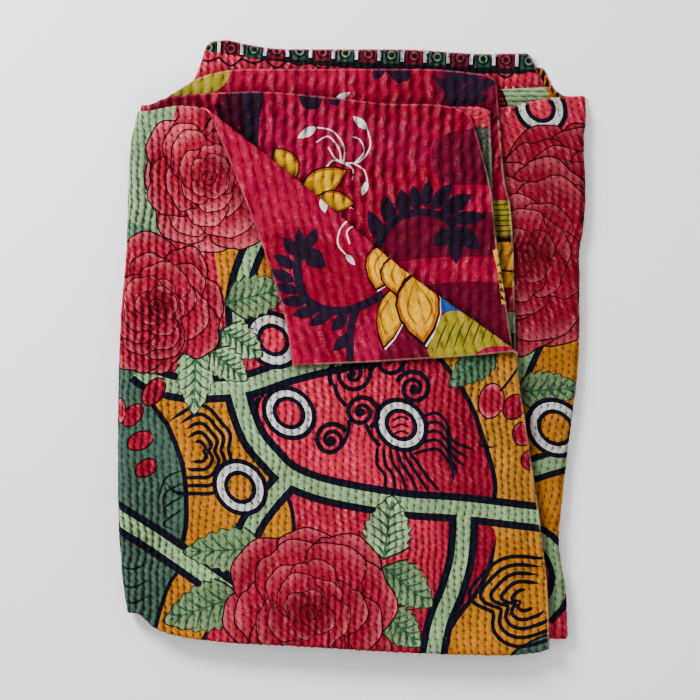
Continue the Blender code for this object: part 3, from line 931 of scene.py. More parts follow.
def turned_chart():
    """The back of layer 1's corner, as it is seen turned over."""
    chart = Chart()
    # The first, bright patch along the fold is print and partly painted highlight
    chart.fields(
        ([(-276, -380), (-76, -261), (19, -152), (6, -112), (-26, -133), (-68, -160), (-127, -152),
          (-163, -234)], "magenta_light", 0.21),
        ([(-76, -112), (-29, -128), (17, -112), (30, -74), (1, -56), (-50, -57), (-72, -74)],
         "crimson_back", 0.1),
        ([(-98, -35), (-53, -24), (-50, 32), (-95, 32)], "magenta_light", 0.24),
        ([(-2, -13), (19, -45), (35, -32), (33, 13), (-2, 21)], "magenta", 0.24),
        ([(33, 5), (54, -27), (110, -21), (104, 19), (35, 27)], "maroon", 0.12),
    )
    chart.stroke([(-90, -133), (-87, -104), (-82, -77), (-61, -56)], 2.4, "vine_line")
    chart.blades((
        Blade(-79, -120, -99, -145, 17), Blade(-83, -104, -112, -121, 16),
        Blade(-84, -86, -118, -101, 16), Blade(-78, -72, -111, -81, 15), Blade(-67, -59, -103, -60, 16),
        Blade(-51, -49, -87, -41, 17), Blade(-33, -45, -65, -27, 16), Blade(-14, -41, -35, -20, 17),
        Blade(-10, -15, -33, 7, 16), Blade(-74, -112, -78, -157, 17), Blade(-68, -128, -54, -157, 16),
        Blade(-71, -128, -42, -104, 25),
    ))
    chart.stroke([(-75, -128), (-80, -101), (-70, -65), (-42, -48), (-7, -49), (35, -69)], 12.0, "plum")
    chart.stroke([(1, -53), (-9, -24), (-10, 24)], 10.6, "plum")
    chart.curl([(9, -154), (-7, -168), (-22, -157), (-26, -136), (-15, -122)], (-3, -108))
    chart.curl([(11, -149), (-2, -160), (-14, -152), (-10, -136)], None)
    chart.blade(-47, -198, -43, -177, 11, "white")
    chart.field([(104, -74), (126, -59), (144, -37), (118, -43), (104, -56)], "blue", 0.1)
    chart.lily((Blade(51, -77, 35, 0, 35), Blade(41, -136, 25, -77, 45), Blade(54, -120, 54, -69, 45),
                Blade(75, -93, 88, -5, 56)), 0.07, (1.08, 0.98, 0.84), lit=True)
    chart.field([(96, 13), (102, -16), (118, -45), (150, -40), (203, -5), (216, 21), (150, 21)],
                "olive", 0.18)
    for index in range(8):
        start = (104 + 12 * index, 8 - 2 * index)
        chart.stroke([start, (start[0] + 7, start[1] - 21), (start[0] + 16, start[1] - 40)], 2.0,
                     "olive_line", taper=0.3)
    chart.field([(158, 9), (182, 0), (216, 5), (190, 21), (150, 21)], "magenta_light", 0.18)
    return chart.shapes


def second_chart():
    """Layer 2, which shows past the turned-back corner."""
    chart = Chart(0.86)
    chart.fields(
        ([(-127, -322), (-37, -317), (-29, -261), (-42, -200), (-76, -223), (-127, -261)], "magenta",
         0.24),
        ([(-31, -290), (46, -298), (110, -290), (104, -250), (57, -239), (-17, -247)], "magenta", 0.3),
        ([(110, -279), (203, -285), (203, -215), (150, -213), (104, -226)], "maroon", 0.09),
        ([(91, -207), (150, -215), (203, -207), (203, -178), (110, -176)], "magenta_light", 0.18),
        ([(30, -141), (54, -170), (110, -176), (203, -173), (203, -117), (62, -112)], "maroon", 0.06),
        ([(57, -112), (203, -117), (203, -82), (88, -80)], "magenta_light", 0.3),
        ([(83, -78), (209, -78), (216, 5), (110, -32)], "maroon", 0.06),
        ([(-168, -346), (-127, -343), (-130, -303), (-135, -255), (-151, -274), (-159, -303)], "plum",
         0.0),
        ([(-79, -340), (-49, -338), (-51, -317), (-71, -317)], "plum", 0.0),
        ([(-41, -335), (-19, -332), (-26, -319), (-37, -322)], "plum", 0.0),
    )
    chart.stroke([(35, -173), (57, -189), (88, -194), (123, -184), (150, -176)], 2.4, "vine_line")
    chart.blades((
        Blade(35, -138, 14, -181, 20), Blade(46, -160, 35, -202, 21), Blade(63, -173, 58, -209, 21),
        Blade(79, -180, 74, -214, 19), Blade(90, -184, 95, -221, 17), Blade(99, -182, 126, -217, 20),
        Blade(112, -177, 152, -202, 23), Blade(123, -169, 172, -172, 19),
        Blade(128, -153, 100, -134, 23), Blade(131, -150, 131, -109, 20), Blade(132, -158, 162, -128, 24),
    ))
    chart.blades((Blade(-151, -293, -191, -322, 23), Blade(-148, -271, -178, -293, 20),
                  Blade(-151, -314, -186, -335, 17)), "maroon_dark")
    chart.stroke([(25, -128), (38, -154), (59, -173), (88, -178), (118, -170), (132, -149)], 10.6,
                 "plum")
    for points, tip in (
        ([(-19, -243), (-18, -265), (-33, -286), (-55, -291)], (-80, -277)),
        ([(-22, -246), (-25, -263), (-39, -279), (-55, -271)], None),
        ([(-21, -243), (3, -246), (17, -266), (13, -289)], (-6, -306)),
        ([(-2, -245), (9, -259), (3, -275), (-6, -278)], None),
        ([(-5, -243), (9, -234), (13, -219)], (6, -200)),
        ([(-17, -243), (-6, -235), (-7, -221)], None),
        ([(-18, -245), (-33, -247), (-42, -237)], None),
        ([(-19, -243), (-30, -250), (-39, -265)], None),
    ):
        chart.curl(points, tip)
    chart.line([(-18, -189), (-5, -182)], 4.0, "white", taper=0.4)
    chart.lily((Blade(-82, -226, -111, -263, 32), Blade(-74, -205, -15, -234, 36),
                Blade(-55, -194, -5, -190, 29)), 0.05, (1.1, 0.96, 0.78), lit=False)
    chart.line([(183, -128), (190, -98), (195, -56)], 5.9, "yellow")
    for row in range(-120, -56, 11):
        chart.line([(197 + 0.09 * row, row), (210 + 0.09 * row, row + 7)], 4.3, "plum_dark")
    return chart.shapes


def fourth_chart():
    """Layer 4: the strip over the back and the strip down its side hem."""
    chart = Chart(0.9)
    chart.fields(
        ([(-172, -388), (25, -388), (22, -355), (-76, -348), (-172, -348)], "magenta_light", 0.24),
        ([(110, -386), (216, -386), (216, -301), (118, -314)], "maroon", 0.12),
        ([(-289, -314), (-249, -354), (-209, -383), (-168, -383), (-178, -348), (-215, -327),
          (-263, -303)], "olive", 0.24),
        ([(22, -354), (21, -372), (35, -380), (41, -372), (33, -359)], "plum", 0.0),
        ([(38, -367), (38, -380), (57, -386), (71, -372), (68, -354), (54, -350)], "plum", 0.0),
        ([(119, -378), (139, -372), (138, -322), (119, -322)], "plum", 0.0),
    )
    chart.blades((Blade(136, -351, 171, -367, 16), Blade(139, -338, 187, -354, 19),
                  Blade(134, -327, 176, -332, 17), Blade(126, -338, 104, -359, 12)))
    chart.blade(-31, -327, -10, -338, 8, "white")
    chart.add([(163, -194), (229, -194), (229, -144), (163, -144)], "olive", streak=0.3)
    for row in range(-189, -144, 7):
        chart.line([(163, row), (190, row + 1), (229, row - 1)], 1.9, "olive_line")
    chart.add([(163, -144), (229, -146), (229, -140), (163, -137)], "plum_dark")
    chart.add([(163, -137), (229, -140), (229, -78), (163, -78)], "amber", streak=0.2)
    chart.line([(163, -98), (192, -101), (224, -97)], 2.7, "plum_dark")
    chart.add([(163, -45), (229, -45), (229, -17), (163, -17)], "sage", streak=0.3)
    chart.add([(163, -17), (229, -17), (229, 8), (163, 8)], "green_line")
    return chart.shapes


def sixth_chart():
    """Layer 6, whose end shows past layer 5's."""
    chart = Chart(0.9)
    chart.add([(150, -367), (323, -367), (323, -301), (150, -301)], "sage", streak=0.2)
    chart.field([(150, -348), (190, -346), (199, -301), (150, -301)], "crimson_deep", 0.3)
    chart.line([(190, -346), (199, -322)], 3.2, "plum_dark")
    chart.field([(255, -348), (269, -348), (272, -311), (256, -317)], "amber", 0.2)
    chart.field([(269, -348), (285, -348), (285, -311), (272, -311)], "crimson", 0.2)
    return chart.shapes


def eighth_chart():
    """Layer 8's back, whose corner shows past layer 7."""
    chart = Chart(0.9)
    chart.add([(216, -380), (323, -380), (323, -314), (216, -314)], "plum_dark")
    for index in range(9):
        column = 221 + 8 * index
        chart.line([(column, -327), (column + 11, -380)], 2.4, "amber")
    return chart.shapes


def third_chart():
    """Layer 3, a strip of which shows beside the top layers."""
    chart = Chart(0.9)
    chart.field([(110, -340), (216, -338), (216, -279), (110, -282)], "crimson_light", 0.6)
    chart.field([(110, -282), (216, -279), (216, -188), (110, -188)], "green_dark", 0.3)
    return chart.shapes


def fifth_chart():
    """Layer 5, whose right part shows beside the top layers."""
    # Painted shade: layer 5 is darkened all over
    chart = Chart(0.72)
    chart.add([(110, -380), (349, -380), (349, 471), (110, 471)], "crimson_light", streak=0.6)
    chart.field([(163, -21), (349, -32), (349, 265), (163, 265)], "ochre", 0.06)
    chart.stroke([(264, 49), (277, 55), (309, 51)], 2.7)
    chart.bands(
        ([(253, -37), (237, -13), (224, 13), (213, 40)], 17.3),
        ([(349, 133), (285, 149), (216, 170)], 18.6),
        ([(237, 253), (259, 271), (272, 303), (267, 335), (248, 359)], 17.3),
        edge=8.6)
    chart.leaf(211, 61, 299, 56, 51, tone="leaf_deep")
    chart.draw(Ring(264, 109, 34.6, 25.3, "ochre", 45),
               Ring(244, -318, 30.6, 21.3, "crimson_light", 45))
    # Painted shade: the roses on layer 5 are darkened more
    chart.tone = 0.62
    chart.rose(283, -200, 96, 23, 0.95)
    chart.rose(227, -122, 112, 29, 1.05)
    return chart.shapes


def border_chart():
    """Layer 7: a border of squares along the end hem, with arches inside it."""
    chart = Chart(0.8)

    def row_at(column, down):
        return BORDER_TOP + BORDER_SLOPE * column + down

    left, right = -342, 376
    chart.add([(left, row_at(left, 0)), (right, row_at(right, 0)), (right, row_at(right, BORDER_DEPTH)),
               (left, row_at(left, BORDER_DEPTH))], "border_line")
    for index in range(BORDER_SQUARES):
        column = BORDER_START + BORDER_STEP * index
        colour = "border_wine" if index % 2 else "border_teal"
        top, low = row_at(column, 2), row_at(column, 26.6)
        chart.add([(column + 5.3, top), (column + 26.6, top), (column + 25.3, low), (column + 4, low)],
                  colour, streak=0.3)
        chart.add([(column - 2.1, top - 6.6), (column + 2.1, top - 6.6), (column + 1, low - 4),
                   (column - 3.2, low - 4)], "white")
        middle = (column + 15.3, row_at(column, 15.3))
        accent = "border_rose" if index % 2 else "border_green"
        for radius, tint in ((8.8, "border_line"), (6.1, accent), (3.7, "border_line")):
            chart.add(oval(*middle, radius, radius, 10), tint)
    chart.add([(left, row_at(left, BORDER_DEPTH)), (right, row_at(right, BORDER_DEPTH)), (right, -327),
               (left, -327)], "crimson_light", streak=0.7)
    for index in range(BORDER_SQUARES):
        column = BORDER_START + BORDER_STEP * index
        low = row_at(column, BORDER_DEPTH)
        chart.stroke([(column, low), (column + 15, low + 6 + 5 * (index % 2)), (column + 31, low)], 3.0,
                     "border_line")
    chart.blades((Blade(190, -338, 211, -359, 12), Blade(205, -330, 227, -348, 12),
                  Blade(216, -356, 240, -364, 11)), "crimson_light")
    chart.line([(237, -383), (259, -338)], 6.7, "rose_rim")
    for column in (198, 208, 221, 233):
        chart.blade(column, -335, column, -347, 4.7, "white")
    return chart.shapes


def under_chart():
    """Layer 8's face that lies down, and its end that shows at the back."""
    chart = Chart()
    chart.field([(-263, 98), (-37, 72), (83, 231), (-76, 418), (-289, 444)], "ochre", 0.06, 12.0)
    chart.field([(30, -340), (349, -354), (349, -21), (136, 19)], "green_dark", 0.05, 12.0)
    chart.bands(([(-342, -141), (-183, -61), (-37, -61), (83, 45), (269, 72), (349, 45)], 18.6),
                ([(-37, -59), (-76, 98), (-37, 231), (-76, 444)], 18.6),
                ([(83, 51), (150, 205), (110, 458)], 18.6))
    chart.draw(Ring(-143, 165, 31.9, 20, "ochre", 0), Ring(203, -21, 31.9, 20, "crimson_light", 0),
               Ring(43, -61, 29.3, 17.3, "crimson_light", 0))
    chart.draw(Leaf(-143, -181, -63, -114, 61), Leaf(110, 285, 57, 205, 59),
               Leaf(150, -141, 83, -194, 59), Leaf(243, 285, 296, 205, 59))
    chart.draw(Rose(-209, -234, 93, 41, 1.0), Rose(190, -194, 96, 43, 1.0), Rose(190, 338, 98, 47, 1.0),
               Rose(-170, 338, 90, 53, 1.0))
    return chart.shapes


def unturned(points):
    """Places on layer 1's plan for places seen on its turned-back corner."""
    plan = points - TURN_TOP
    distance, progress = plan @ TURN_NORMAL, plan @ TURN_ALONG
    distance = distance + TURN_BOW * bow_of(progress) * np.exp(-((distance / TURN_BOW_REACH) ** 2))
    flat = (math.pi - 2) * TURN_RADIUS - distance
    return TURN_TOP + np.outer(progress, TURN_ALONG) + np.outer(flat, TURN_NORMAL)


def flat_shapes(shapes, number, turned=False):
    """Shapes moved from a chart to the flat cloth."""
    result = []
    for shape in shapes:
        places = np.vstack((shape.outline, [shape.focus])) * (1.0, -1.0)
        if turned:
            places = unturned(places)
        u, v = flat_of(number, places[:, 0], places[:, 1])
        moved = np.stack((u, v), axis=1)
        result.append(shape._replace(outline=moved[:-1], focus=moved[-1]))
    return result


def face_shapes(side):
    """The shapes of one whole face of the flat cloth, those of its lowest layer first."""
    if side > 0:
        return (flat_shapes(under_chart(), 8) + flat_shapes(fifth_chart(), 5)
                + flat_shapes(border_chart(), 7) + flat_shapes(third_chart(), 3)
                + flat_shapes(front_chart(), 1))
    return (flat_shapes(second_chart(), 2) + flat_shapes(fourth_chart(), 4)
            + flat_shapes(sixth_chart(), 6) + flat_shapes(eighth_chart(), 8)
            + flat_shapes(turned_chart(), 1, turned=True))


# ---------------------------------------------------------------- the mesh of the folded cloth
FINE_ACROSS = STITCH_PITCH / 2
FINE_ALONG = STITCH_STEP / 3
MEDIUM, COARSE = 3, 6
SHAPE_STEP = 4.6
CLEAR_OF_SHAPES = 1.4
CORNER_LOW, CORNER_HIGH = np.array((-330.0, -60.0)), np.array((330.0, 380.0))
CORNER_FOLD_ROWS = (0.0, 2.5, 5.0, 7.5, 10.0)
CORNER_FOLD_STEP = 4.0
CREAM_HEM_REACH = 90.0
HEM_SHARE = 0.25  # how much of a hem's own colour shows on the faces beside it
# A shape with a rim: how much darker it is at its focus, and how its rim's colour comes in
FOCUS_DARKER = 0.28
FOCUS_SPAN = 0.6
RIM_START = 0.7
RIM_SPAN = 0.36
RIM_STREAK_LOSS = 0.75
# How strongly the pale crest streaks show, which are partly painted highlight
FRONT_STREAK, BACK_STREAK, HEM_STREAK = 0.85, 0.25, 0.25
CELL_ROWS = 100000  # more than the rows of small squares that the flat cloth has
MERGE_DISTANCE = 0.02

# The ends of covered layers that still show, from these places of the stack's plan on
End = namedtuple("End", "side number x y")
SEEN_ENDS = (End(1, 5, 150.0, 290.0), End(1, 7, -FAR, 340.0), End(-1, 6, 150.0, 312.0),
             End(-1, 8, 215.0, 326.0))
SEEN_FOLDS = (-1, -2, HALF_WAY)
# From where on layer 3's and layer 4's side hems show, and layer 4's end
SIDE_3_FROM = 120.0
SIDE_4_FROM = 60.0
END_4_FROM = 296.0
# How far under an edge or a fold the cloth is still modelled finely
COVER_MARGIN = 14.0
SIDE_MARGIN = 16.0
TURN_MARGIN = 24.0


def seen_level(side, number, x, y):
    """How finely a face is modelled: 1 where it shows, more where it is covered."""
    level = np.full(len(x), COARSE)
    past = corner_distance(x, y)
    covered = (past < -COVER_MARGIN) & (beyond(1, *mirrored(x, y)) < -COVER_MARGIN)
    edge_1, edge_3, edge_4 = (EDGES[n](y) for n in (1, 3, 4))
    if side > 0:
        level[((number == 1) & ~covered) | np.isin(number, SEEN_FOLDS)] = 1
        level[(number == 5) & (x > np.max((edge_1, edge_3, edge_4), axis=0) - SIDE_MARGIN)] = 1
        level[(number == 3) & (x > edge_1 - COVER_MARGIN) & (y > SIDE_3_FROM)] = 1
        level[number == 8] = MEDIUM
    else:
        level[(number == 1) & (past > -CORNER_MARGIN)] = 1
        level[(number == 2) & (past > -TURN_MARGIN)] = 1
        beside = x > np.minimum(edge_1, edge_3) - COVER_MARGIN
        level[(number == 4) & ((y > END_4_FROM) | beside) & (y > SIDE_4_FROM)] = 1
    for end in SEEN_ENDS:
        if end.side == side:
            level[(number == end.number) & (x > end.x) & (y > end.y)] = 1
    return level


def row_grid(low, high, finer=1):
    """Points along and between the lines of stitches of a box, with their columns and rows."""
    across, along = FINE_ACROSS / finer, FINE_ALONG / finer
    columns = np.arange(int(low[0] / across) - 2, int(high[0] / across) + 3)
    rows = np.arange(int(low[1] / along) - 4 * finer, int(high[1] / along) + 4 * finer)
    column, row = (grid.ravel() for grid in np.meshgrid(columns, rows))
    u, v = column * across, row * along
    v = v - (line_start(np.floor(column / (2 * finer))) % 1.0) * STITCH_STEP
    return u - line_wave(u, v), v, column, row


def grid_points(side, outline):
    """The points of a face: fine where the face shows."""
    low, high = outline.min(axis=0), outline.max(axis=0)
    if side > 0:
        u, v, column, row = row_grid(low, high)
        turned = np.zeros(u.shape, bool)
    else:
        scale = np.array((BACK_ACROSS, BACK_ALONG))
        u, v, column, row = row_grid(low / scale, high / scale, 2)
        u, v = u * BACK_ACROSS, v * BACK_ALONG
        turned = row_places(side, u, v)[2]
    point, number = middle_point(u, v)
    level = seen_level(side, number, point[:, 0], point[:, 1])
    kept = (column % level == 0) & (row % level == 0) & ~turned
    points = np.stack((u[kept], v[kept]), axis=1)
    if side < 0:
        u, v, _, _ = row_grid(CORNER_LOW / scale, CORNER_HIGH / scale, 2)
        u, v = u * BACK_ACROSS, v * BACK_ALONG
        u, v = mirrored(u - TURNED_LEAN * v, v)
        kept = row_places(side, u, v)[2]
        points = np.vstack((points, np.stack((u[kept], v[kept]), axis=1)))
        along = np.linspace(0.0, TURN_LENGTH, int(TURN_LENGTH / CORNER_FOLD_STEP))
        for past in CORNER_FOLD_ROWS:
            place = TURN_TOP + np.outer(along, TURN_ALONG) + TURN_NORMAL * (past - TURN_RADIUS)
            points = np.vstack((points, place))
    return points[inside(points, outline)]


def open_segments(shapes):
    """The pieces of the shapes' outlines that no later shape covers."""
    starts, ends, order = [], [], []
    for index, shape in enumerate(shapes):
        closed = np.vstack((shape.outline, shape.outline[:1]))
        for start, end in zip(closed, closed[1:]):
            pieces = max(int(math.ceil(np.linalg.norm(end - start) / SHAPE_STEP)), 1)
            for piece in range(pieces):
                starts.append(start + (end - start) * piece / pieces)
                ends.append(start + (end - start) * (piece + 1) / pieces)
                order.append(index)
    starts, ends, order = np.array(starts), np.array(ends), np.array(order)
    middles = (starts + ends) / 2
    covered = np.zeros(len(middles), bool)
    for index, shape in enumerate(shapes):
        before = np.flatnonzero((order < index) & ~covered)
        if len(before):
            covered[before] = inside(middles[before], shape.outline)
    return starts[~covered], ends[~covered]


def cell_of(points):
    """One whole number for each small square of the flat cloth."""
    cells = np.round(points / CLEAR_OF_SHAPES).astype(int)
    return cells[:, 0] * CELL_ROWS + cells[:, 1]


def cloth_face(side, shapes, outline, hem_line):
    """One face of the flat cloth, triangulated, with the shape that each triangle lies in."""
    starts, ends = open_segments(shapes)
    kept = inside(starts, hem_line) & inside(ends, hem_line)
    starts, ends = starts[kept], ends[kept]
    grid = grid_points(side, hem_line)
    taken = np.unique(cell_of(np.vstack((starts, ends, (starts + ends) / 2, hem_line))))
    grid = grid[~np.isin(cell_of(grid), taken)]
    ring = len(outline)
    points = np.vstack((outline, hem_line, starts, ends, grid))
    edges = [(index, (index + 1) % ring) for index in range(ring)]
    edges += [(ring + index, ring + (index + 1) % ring) for index in range(ring)]
    edges += [(2 * ring + index, 2 * ring + len(starts) + index) for index in range(len(starts))]
    verts, _, triangles, sources, _, _ = delaunay_2d_cdt(
        [Vector(point) for point in points], edges, [], 0, MERGE_DISTANCE, True)
    verts = np.array([tuple(vert) for vert in verts])
    triangles = np.array(triangles)
    centres = verts[triangles].mean(axis=1)
    within = inside(centres, outline)
    triangles, centres = triangles[within], centres[within]
    owner = np.full(len(triangles), -1)
    for index, shape in enumerate(shapes):
        owner[inside(centres, shape.outline)] = index
    hem = ~inside(centres, hem_line)
    used, triangles = np.unique(triangles, return_inverse=True)
    triangles = triangles.reshape(-1, 3)
    rim = [None] * ring
    for new, old in enumerate(used):
        for source in sources[old]:
            if source < ring:
                rim[source] = new
    if None in rim:
        raise RuntimeError("a point of the cloth's outline was lost")
    return verts[used], triangles, owner, hem, np.array(rim)


def hem_colours(corners, points, palette):
    """The hems' colours: cream down the sides of the cloth and pink along its ends."""
    across = corners[..., 0]
    away = np.minimum(points[:, 0].max() - across, across - points[:, 0].min())
    cream = (away.min(axis=1) < CREAM_HEM_REACH)[:, None, None]
    return np.where(cream, np.array(palette["hem"]), np.array(palette["hem_end"]))


def corner_colours(points, triangles, owner, hem, shapes, palette, ground):
    """A colour and a streakiness for each corner of each triangle.

    A shape with a rim is darker near its focus and takes its rim's colour towards its reach.
    """
    colours = np.tile(np.array(palette[ground]), (len(triangles), 3, 1))
    streaks = np.full((len(triangles), 3), FRONT_STREAK if ground == "crimson" else BACK_STREAK)
    for index, shape in enumerate(shapes):
        mine = np.flatnonzero(owner == index)
        if not len(mine):
            continue
        places = points[triangles[mine]]
        share = np.linalg.norm(places - shape.focus, axis=2) / shape.reach
        base, rim = np.array(palette[shape.colour]), np.array(palette[shape.rim])
        streaks[mine] = shape.streak
        if shape.rim != shape.colour:
            away = smooth_step(share / FOCUS_SPAN)
            base = base * (1.0 - FOCUS_DARKER + FOCUS_DARKER * away)[:, :, None]
            share = smooth_step((share - RIM_START) / RIM_SPAN)
            base = base + (rim - base) * share[:, :, None]
            streaks[mine] *= 1.0 - RIM_STREAK_LOSS * share
        colours[mine] = base * shape.tone
    hems = hem_colours(points[triangles[hem]], points, palette)
    colours[hem] = colours[hem] * (1.0 - HEM_SHARE) + hems * HEM_SHARE
    return colours, streaks


def half_thickness(u, v, side):
    """Half the cloth's thickness at places of a face."""
    row_u, row_v, _ = row_places(side, u, v)
    depth = np.minimum(pucker(side, u, v), 1.0)
    fullness = relief(row_u, row_v) * depth + FLAT_FILLING * (1 - depth)
    return VALLEY_HALF + (CREST_HALF - VALLEY_HALF) * fullness


Face = namedtuple("Face", "cloth places triangles colours streaks rows pucker rim")


def printed_face(side, outline, hem_line, palette):
    """One face of the folded cloth, with its print."""
    shapes, ground = face_shapes(side), "crimson" if side > 0 else "crimson_back"
    points, triangles, owner, hem, rim = cloth_face(side, shapes, outline, hem_line)
    u, v = points[:, 0], points[:, 1]
    colours, streaks = corner_colours(points, triangles, owner, hem, shapes, palette, ground)
    # Painted shade beside the edges that lie over this face
    colours = colours * painted_shade(side, u, v)[triangles][..., None]
    half = half_thickness(u, v, side)
    half[rim] = HEM_HALF
    if side < 0:
        triangles, colours, streaks = triangles[:, ::-1], colours[:, ::-1], streaks[:, ::-1]
    corners = points[triangles]
    centres = corners.mean(axis=1)
    turned = row_places(side, centres[:, 0], centres[:, 1])[2]
    row_u, row_v, _ = row_places(side, corners[..., 0], corners[..., 1], turned[:, None])
    rows = np.stack((row_u, row_v), axis=-1)
    return Face(points, placed(u, v, side, half), triangles, colours, streaks, rows,
                pucker(side, u, v), rim)


def linked(name, data):
    """A new object in the scene."""
    thing = bpy.data.objects.new(name, data)
    bpy.context.scene.collection.objects.link(thing)
    return thing


def fill(layer, field, values):
    """Give a mesh's layer its values."""
    layer.data.foreach_set(field, np.asarray(values, np.float32).ravel())


def cloth_object(palette):
    """The whole folded cloth as one closed mesh, with its print as corner colours."""
    outline, hem_line = cloth_outline()
    front, back = (printed_face(side, outline, hem_line, palette) for side in (1, -1))
    start = len(front.cloth)
    cloth = np.vstack((front.cloth, back.cloth))
    upper, lower = front.rim, back.rim + start
    next_upper, next_lower = np.roll(upper, -1), np.roll(lower, -1)
    rim_faces = np.vstack((np.stack((upper, lower, next_lower), axis=1),
                           np.stack((upper, next_lower, next_upper), axis=1)))
    faces = np.vstack((front.triangles, back.triangles + start, rim_faces))
    rim_colours = np.broadcast_to(hem_colours(cloth[rim_faces], cloth, palette), (len(rim_faces), 3, 3))
    colours = np.vstack((front.colours, back.colours, rim_colours)).reshape(-1, 3)
    streaks = np.vstack((front.streaks, back.streaks, np.full((len(rim_faces), 3), HEM_STREAK)))
    rows = np.vstack((front.rows, back.rows, cloth[rim_faces]))

    mesh = bpy.data.meshes.new("kantha_quilt")
    mesh.from_pydata(np.vstack((front.places, back.places)).tolist(), [], faces.tolist())
    print_layer = mesh.attributes.new("print", "FLOAT_COLOR", "CORNER")
    fill(print_layer, "color", np.concatenate((colours, np.ones((len(colours), 1))), axis=1))
    fill(mesh.attributes.new("streak", "FLOAT", "CORNER"), "value", streaks)
    puckers = np.concatenate((front.pucker, back.pucker))
    fill(mesh.attributes.new("pucker", "FLOAT", "POINT"), "value", puckers)
    fill(mesh.uv_layers.new(name="rows"), "uv", rows * MM)
    fill(mesh.uv_layers.new(name="cloth"), "uv", cloth[faces.ravel()] * MM)
    mesh.shade_smooth()
    mesh.validate()
    return linked("kantha_quilt", mesh)


# ---------------------------------------------------------------- the running stitches
STITCH_LENGTH = 3.5
STITCH_WIDTH = 2.0
STITCH_SUNK = 0.35
STITCH_PROUD = 0.75
STITCH_SEED = 5

# A stitch's corners: a flat foot sunk in the cloth, and a ridge along its top
Corner = namedtuple("Corner", "along across rise")
STITCH_CORNERS = (
    Corner(-1.0, -0.5, -STITCH_SUNK), Corner(-1.0, 0.5, -STITCH_SUNK), Corner(1.0, 0.5, -STITCH_SUNK),
    Corner(1.0, -0.5, -STITCH_SUNK), Corner(-0.6, 0.0, STITCH_PROUD), Corner(0.6, 0.0, STITCH_PROUD),
)
STITCH_FACES = ((0, 4, 1), (1, 4, 5), (1, 5, 2), (2, 5, 3), (3, 5, 4), (3, 4, 0), (0, 1, 2), (0, 2, 3))


def stitch_places(side, hem_line, rng):
    """Where the middles of the stitches that show lie on a face of the flat cloth."""
    scale = np.array((1.0, 1.0) if side > 0 else (BACK_ACROSS, BACK_ALONG))
    first, last = hem_line.min(axis=0) / scale, hem_line.max(axis=0) / scale
    lines = np.arange(int(first[0] / STITCH_PITCH) - 1, int(last[0] / STITCH_PITCH) + 2)
    steps = np.arange(int(first[1] / STITCH_STEP) - 1, int(last[1] / STITCH_STEP) + 2)
    line, step = (grid.ravel() for grid in np.meshgrid(lines, steps))
    v = (step - line_start(line) % 1.0) * STITCH_STEP
    u = line * STITCH_PITCH - line_wave(line * STITCH_PITCH, v) + rng.normal(0.0, 0.2, len(v))
    u, v = u * scale[0], v * scale[1] + rng.normal(0.0, 0.4, len(v))
    middle, number = middle_point(u, v)
    seen = seen_level(side, number, middle[:, 0], middle[:, 1]) == 1
    seen &= inside(np.stack((u, v), axis=1), hem_line) & ~row_places(side, u, v)[2]
    return u[seen], v[seen]


def stitch_object(palette):
    """The stitches that show, each a short dash of thread lying in its pit."""
    hem_line = cloth_outline()[1]
    rng = np.random.default_rng(STITCH_SEED)
    verts, faces, back = [], [], []
    start = 0
    for side in (1, -1):
        u, v = stitch_places(side, hem_line, rng)
        slant = rng.normal(0.0, 0.12, len(u)) + (line_wave(u, v - 2) - line_wave(u, v + 2)) / 4
        length = STITCH_LENGTH * rng.uniform(0.7, 1.2, len(u)) / 2
        half = half_thickness(u, v, side)
        verts.append(np.stack([
            placed(u + corner.along * length * slant + corner.across * STITCH_WIDTH,
                   v + corner.along * length, side, half + corner.rise)
            for corner in STITCH_CORNERS], axis=1).reshape(-1, 3))
        base = start + len(STITCH_CORNERS) * np.arange(len(u))[:, None]
        for triangle in STITCH_FACES:
            faces.append(base + np.array(triangle if side < 0 else triangle[::-1]))
            back.append(np.full(len(u), side < 0))
        start += len(verts[-1])
    mesh = bpy.data.meshes.new("running_stitches")
    mesh.from_pydata(np.vstack(verts).tolist(), [], np.vstack(faces).tolist())
    for name in ("front", "back"):
        mesh.materials.append(plain_material("quilt_thread_" + name, palette["stitch_" + name]))
    mesh.polygons.foreach_set("material_index", np.concatenate(back).astype(np.int32))
    mesh.validate()
    return linked("running_stitches", mesh)


# ---------------------------------------------------------------- materials
SHEEN = 0.04
PLAIN_ROUGHNESS = 0.9
CLOTH_ROUGHNESS = 0.85
BUMP_DEPTH = 0.0032  # in metres


def make_matt(shader, roughness):
    """Cloth and thread hardly shine."""
    shader.inputs["Roughness"].default_value = roughness
    shader.inputs["Specular IOR Level"].default_value = SHEEN
    shader.inputs["Metallic"].default_value = 0.0


def plain_material(name, colour):
    """One dull colour, for thread and for the floor."""
    material = bpy.data.materials.new(name)
    material.use_nodes = True
    shader = material.node_tree.nodes["Principled BSDF"]
    shader.inputs["Base Color"].default_value = (*colour, 1.0)
    make_matt(shader, PLAIN_ROUGHNESS)
    return material


class Term:
    """A number made by a material's nodes, which adds and multiplies like any other."""

    def __init__(self, nodes, socket):
        self.nodes, self.socket = nodes, socket

    def maths(self, operation, *others):
        return self.nodes.maths(operation, self, *others)

    def __add__(self, other):
        return self.maths("ADD", other)

    def __sub__(self, other):
        return self.maths("SUBTRACT", other)

    def __mul__(self, other):
        return self.maths("MULTIPLY", other)

    def __truediv__(self, other):
        return self.maths("DIVIDE", other)

    def __pow__(self, other):
        return self.maths("POWER", other)


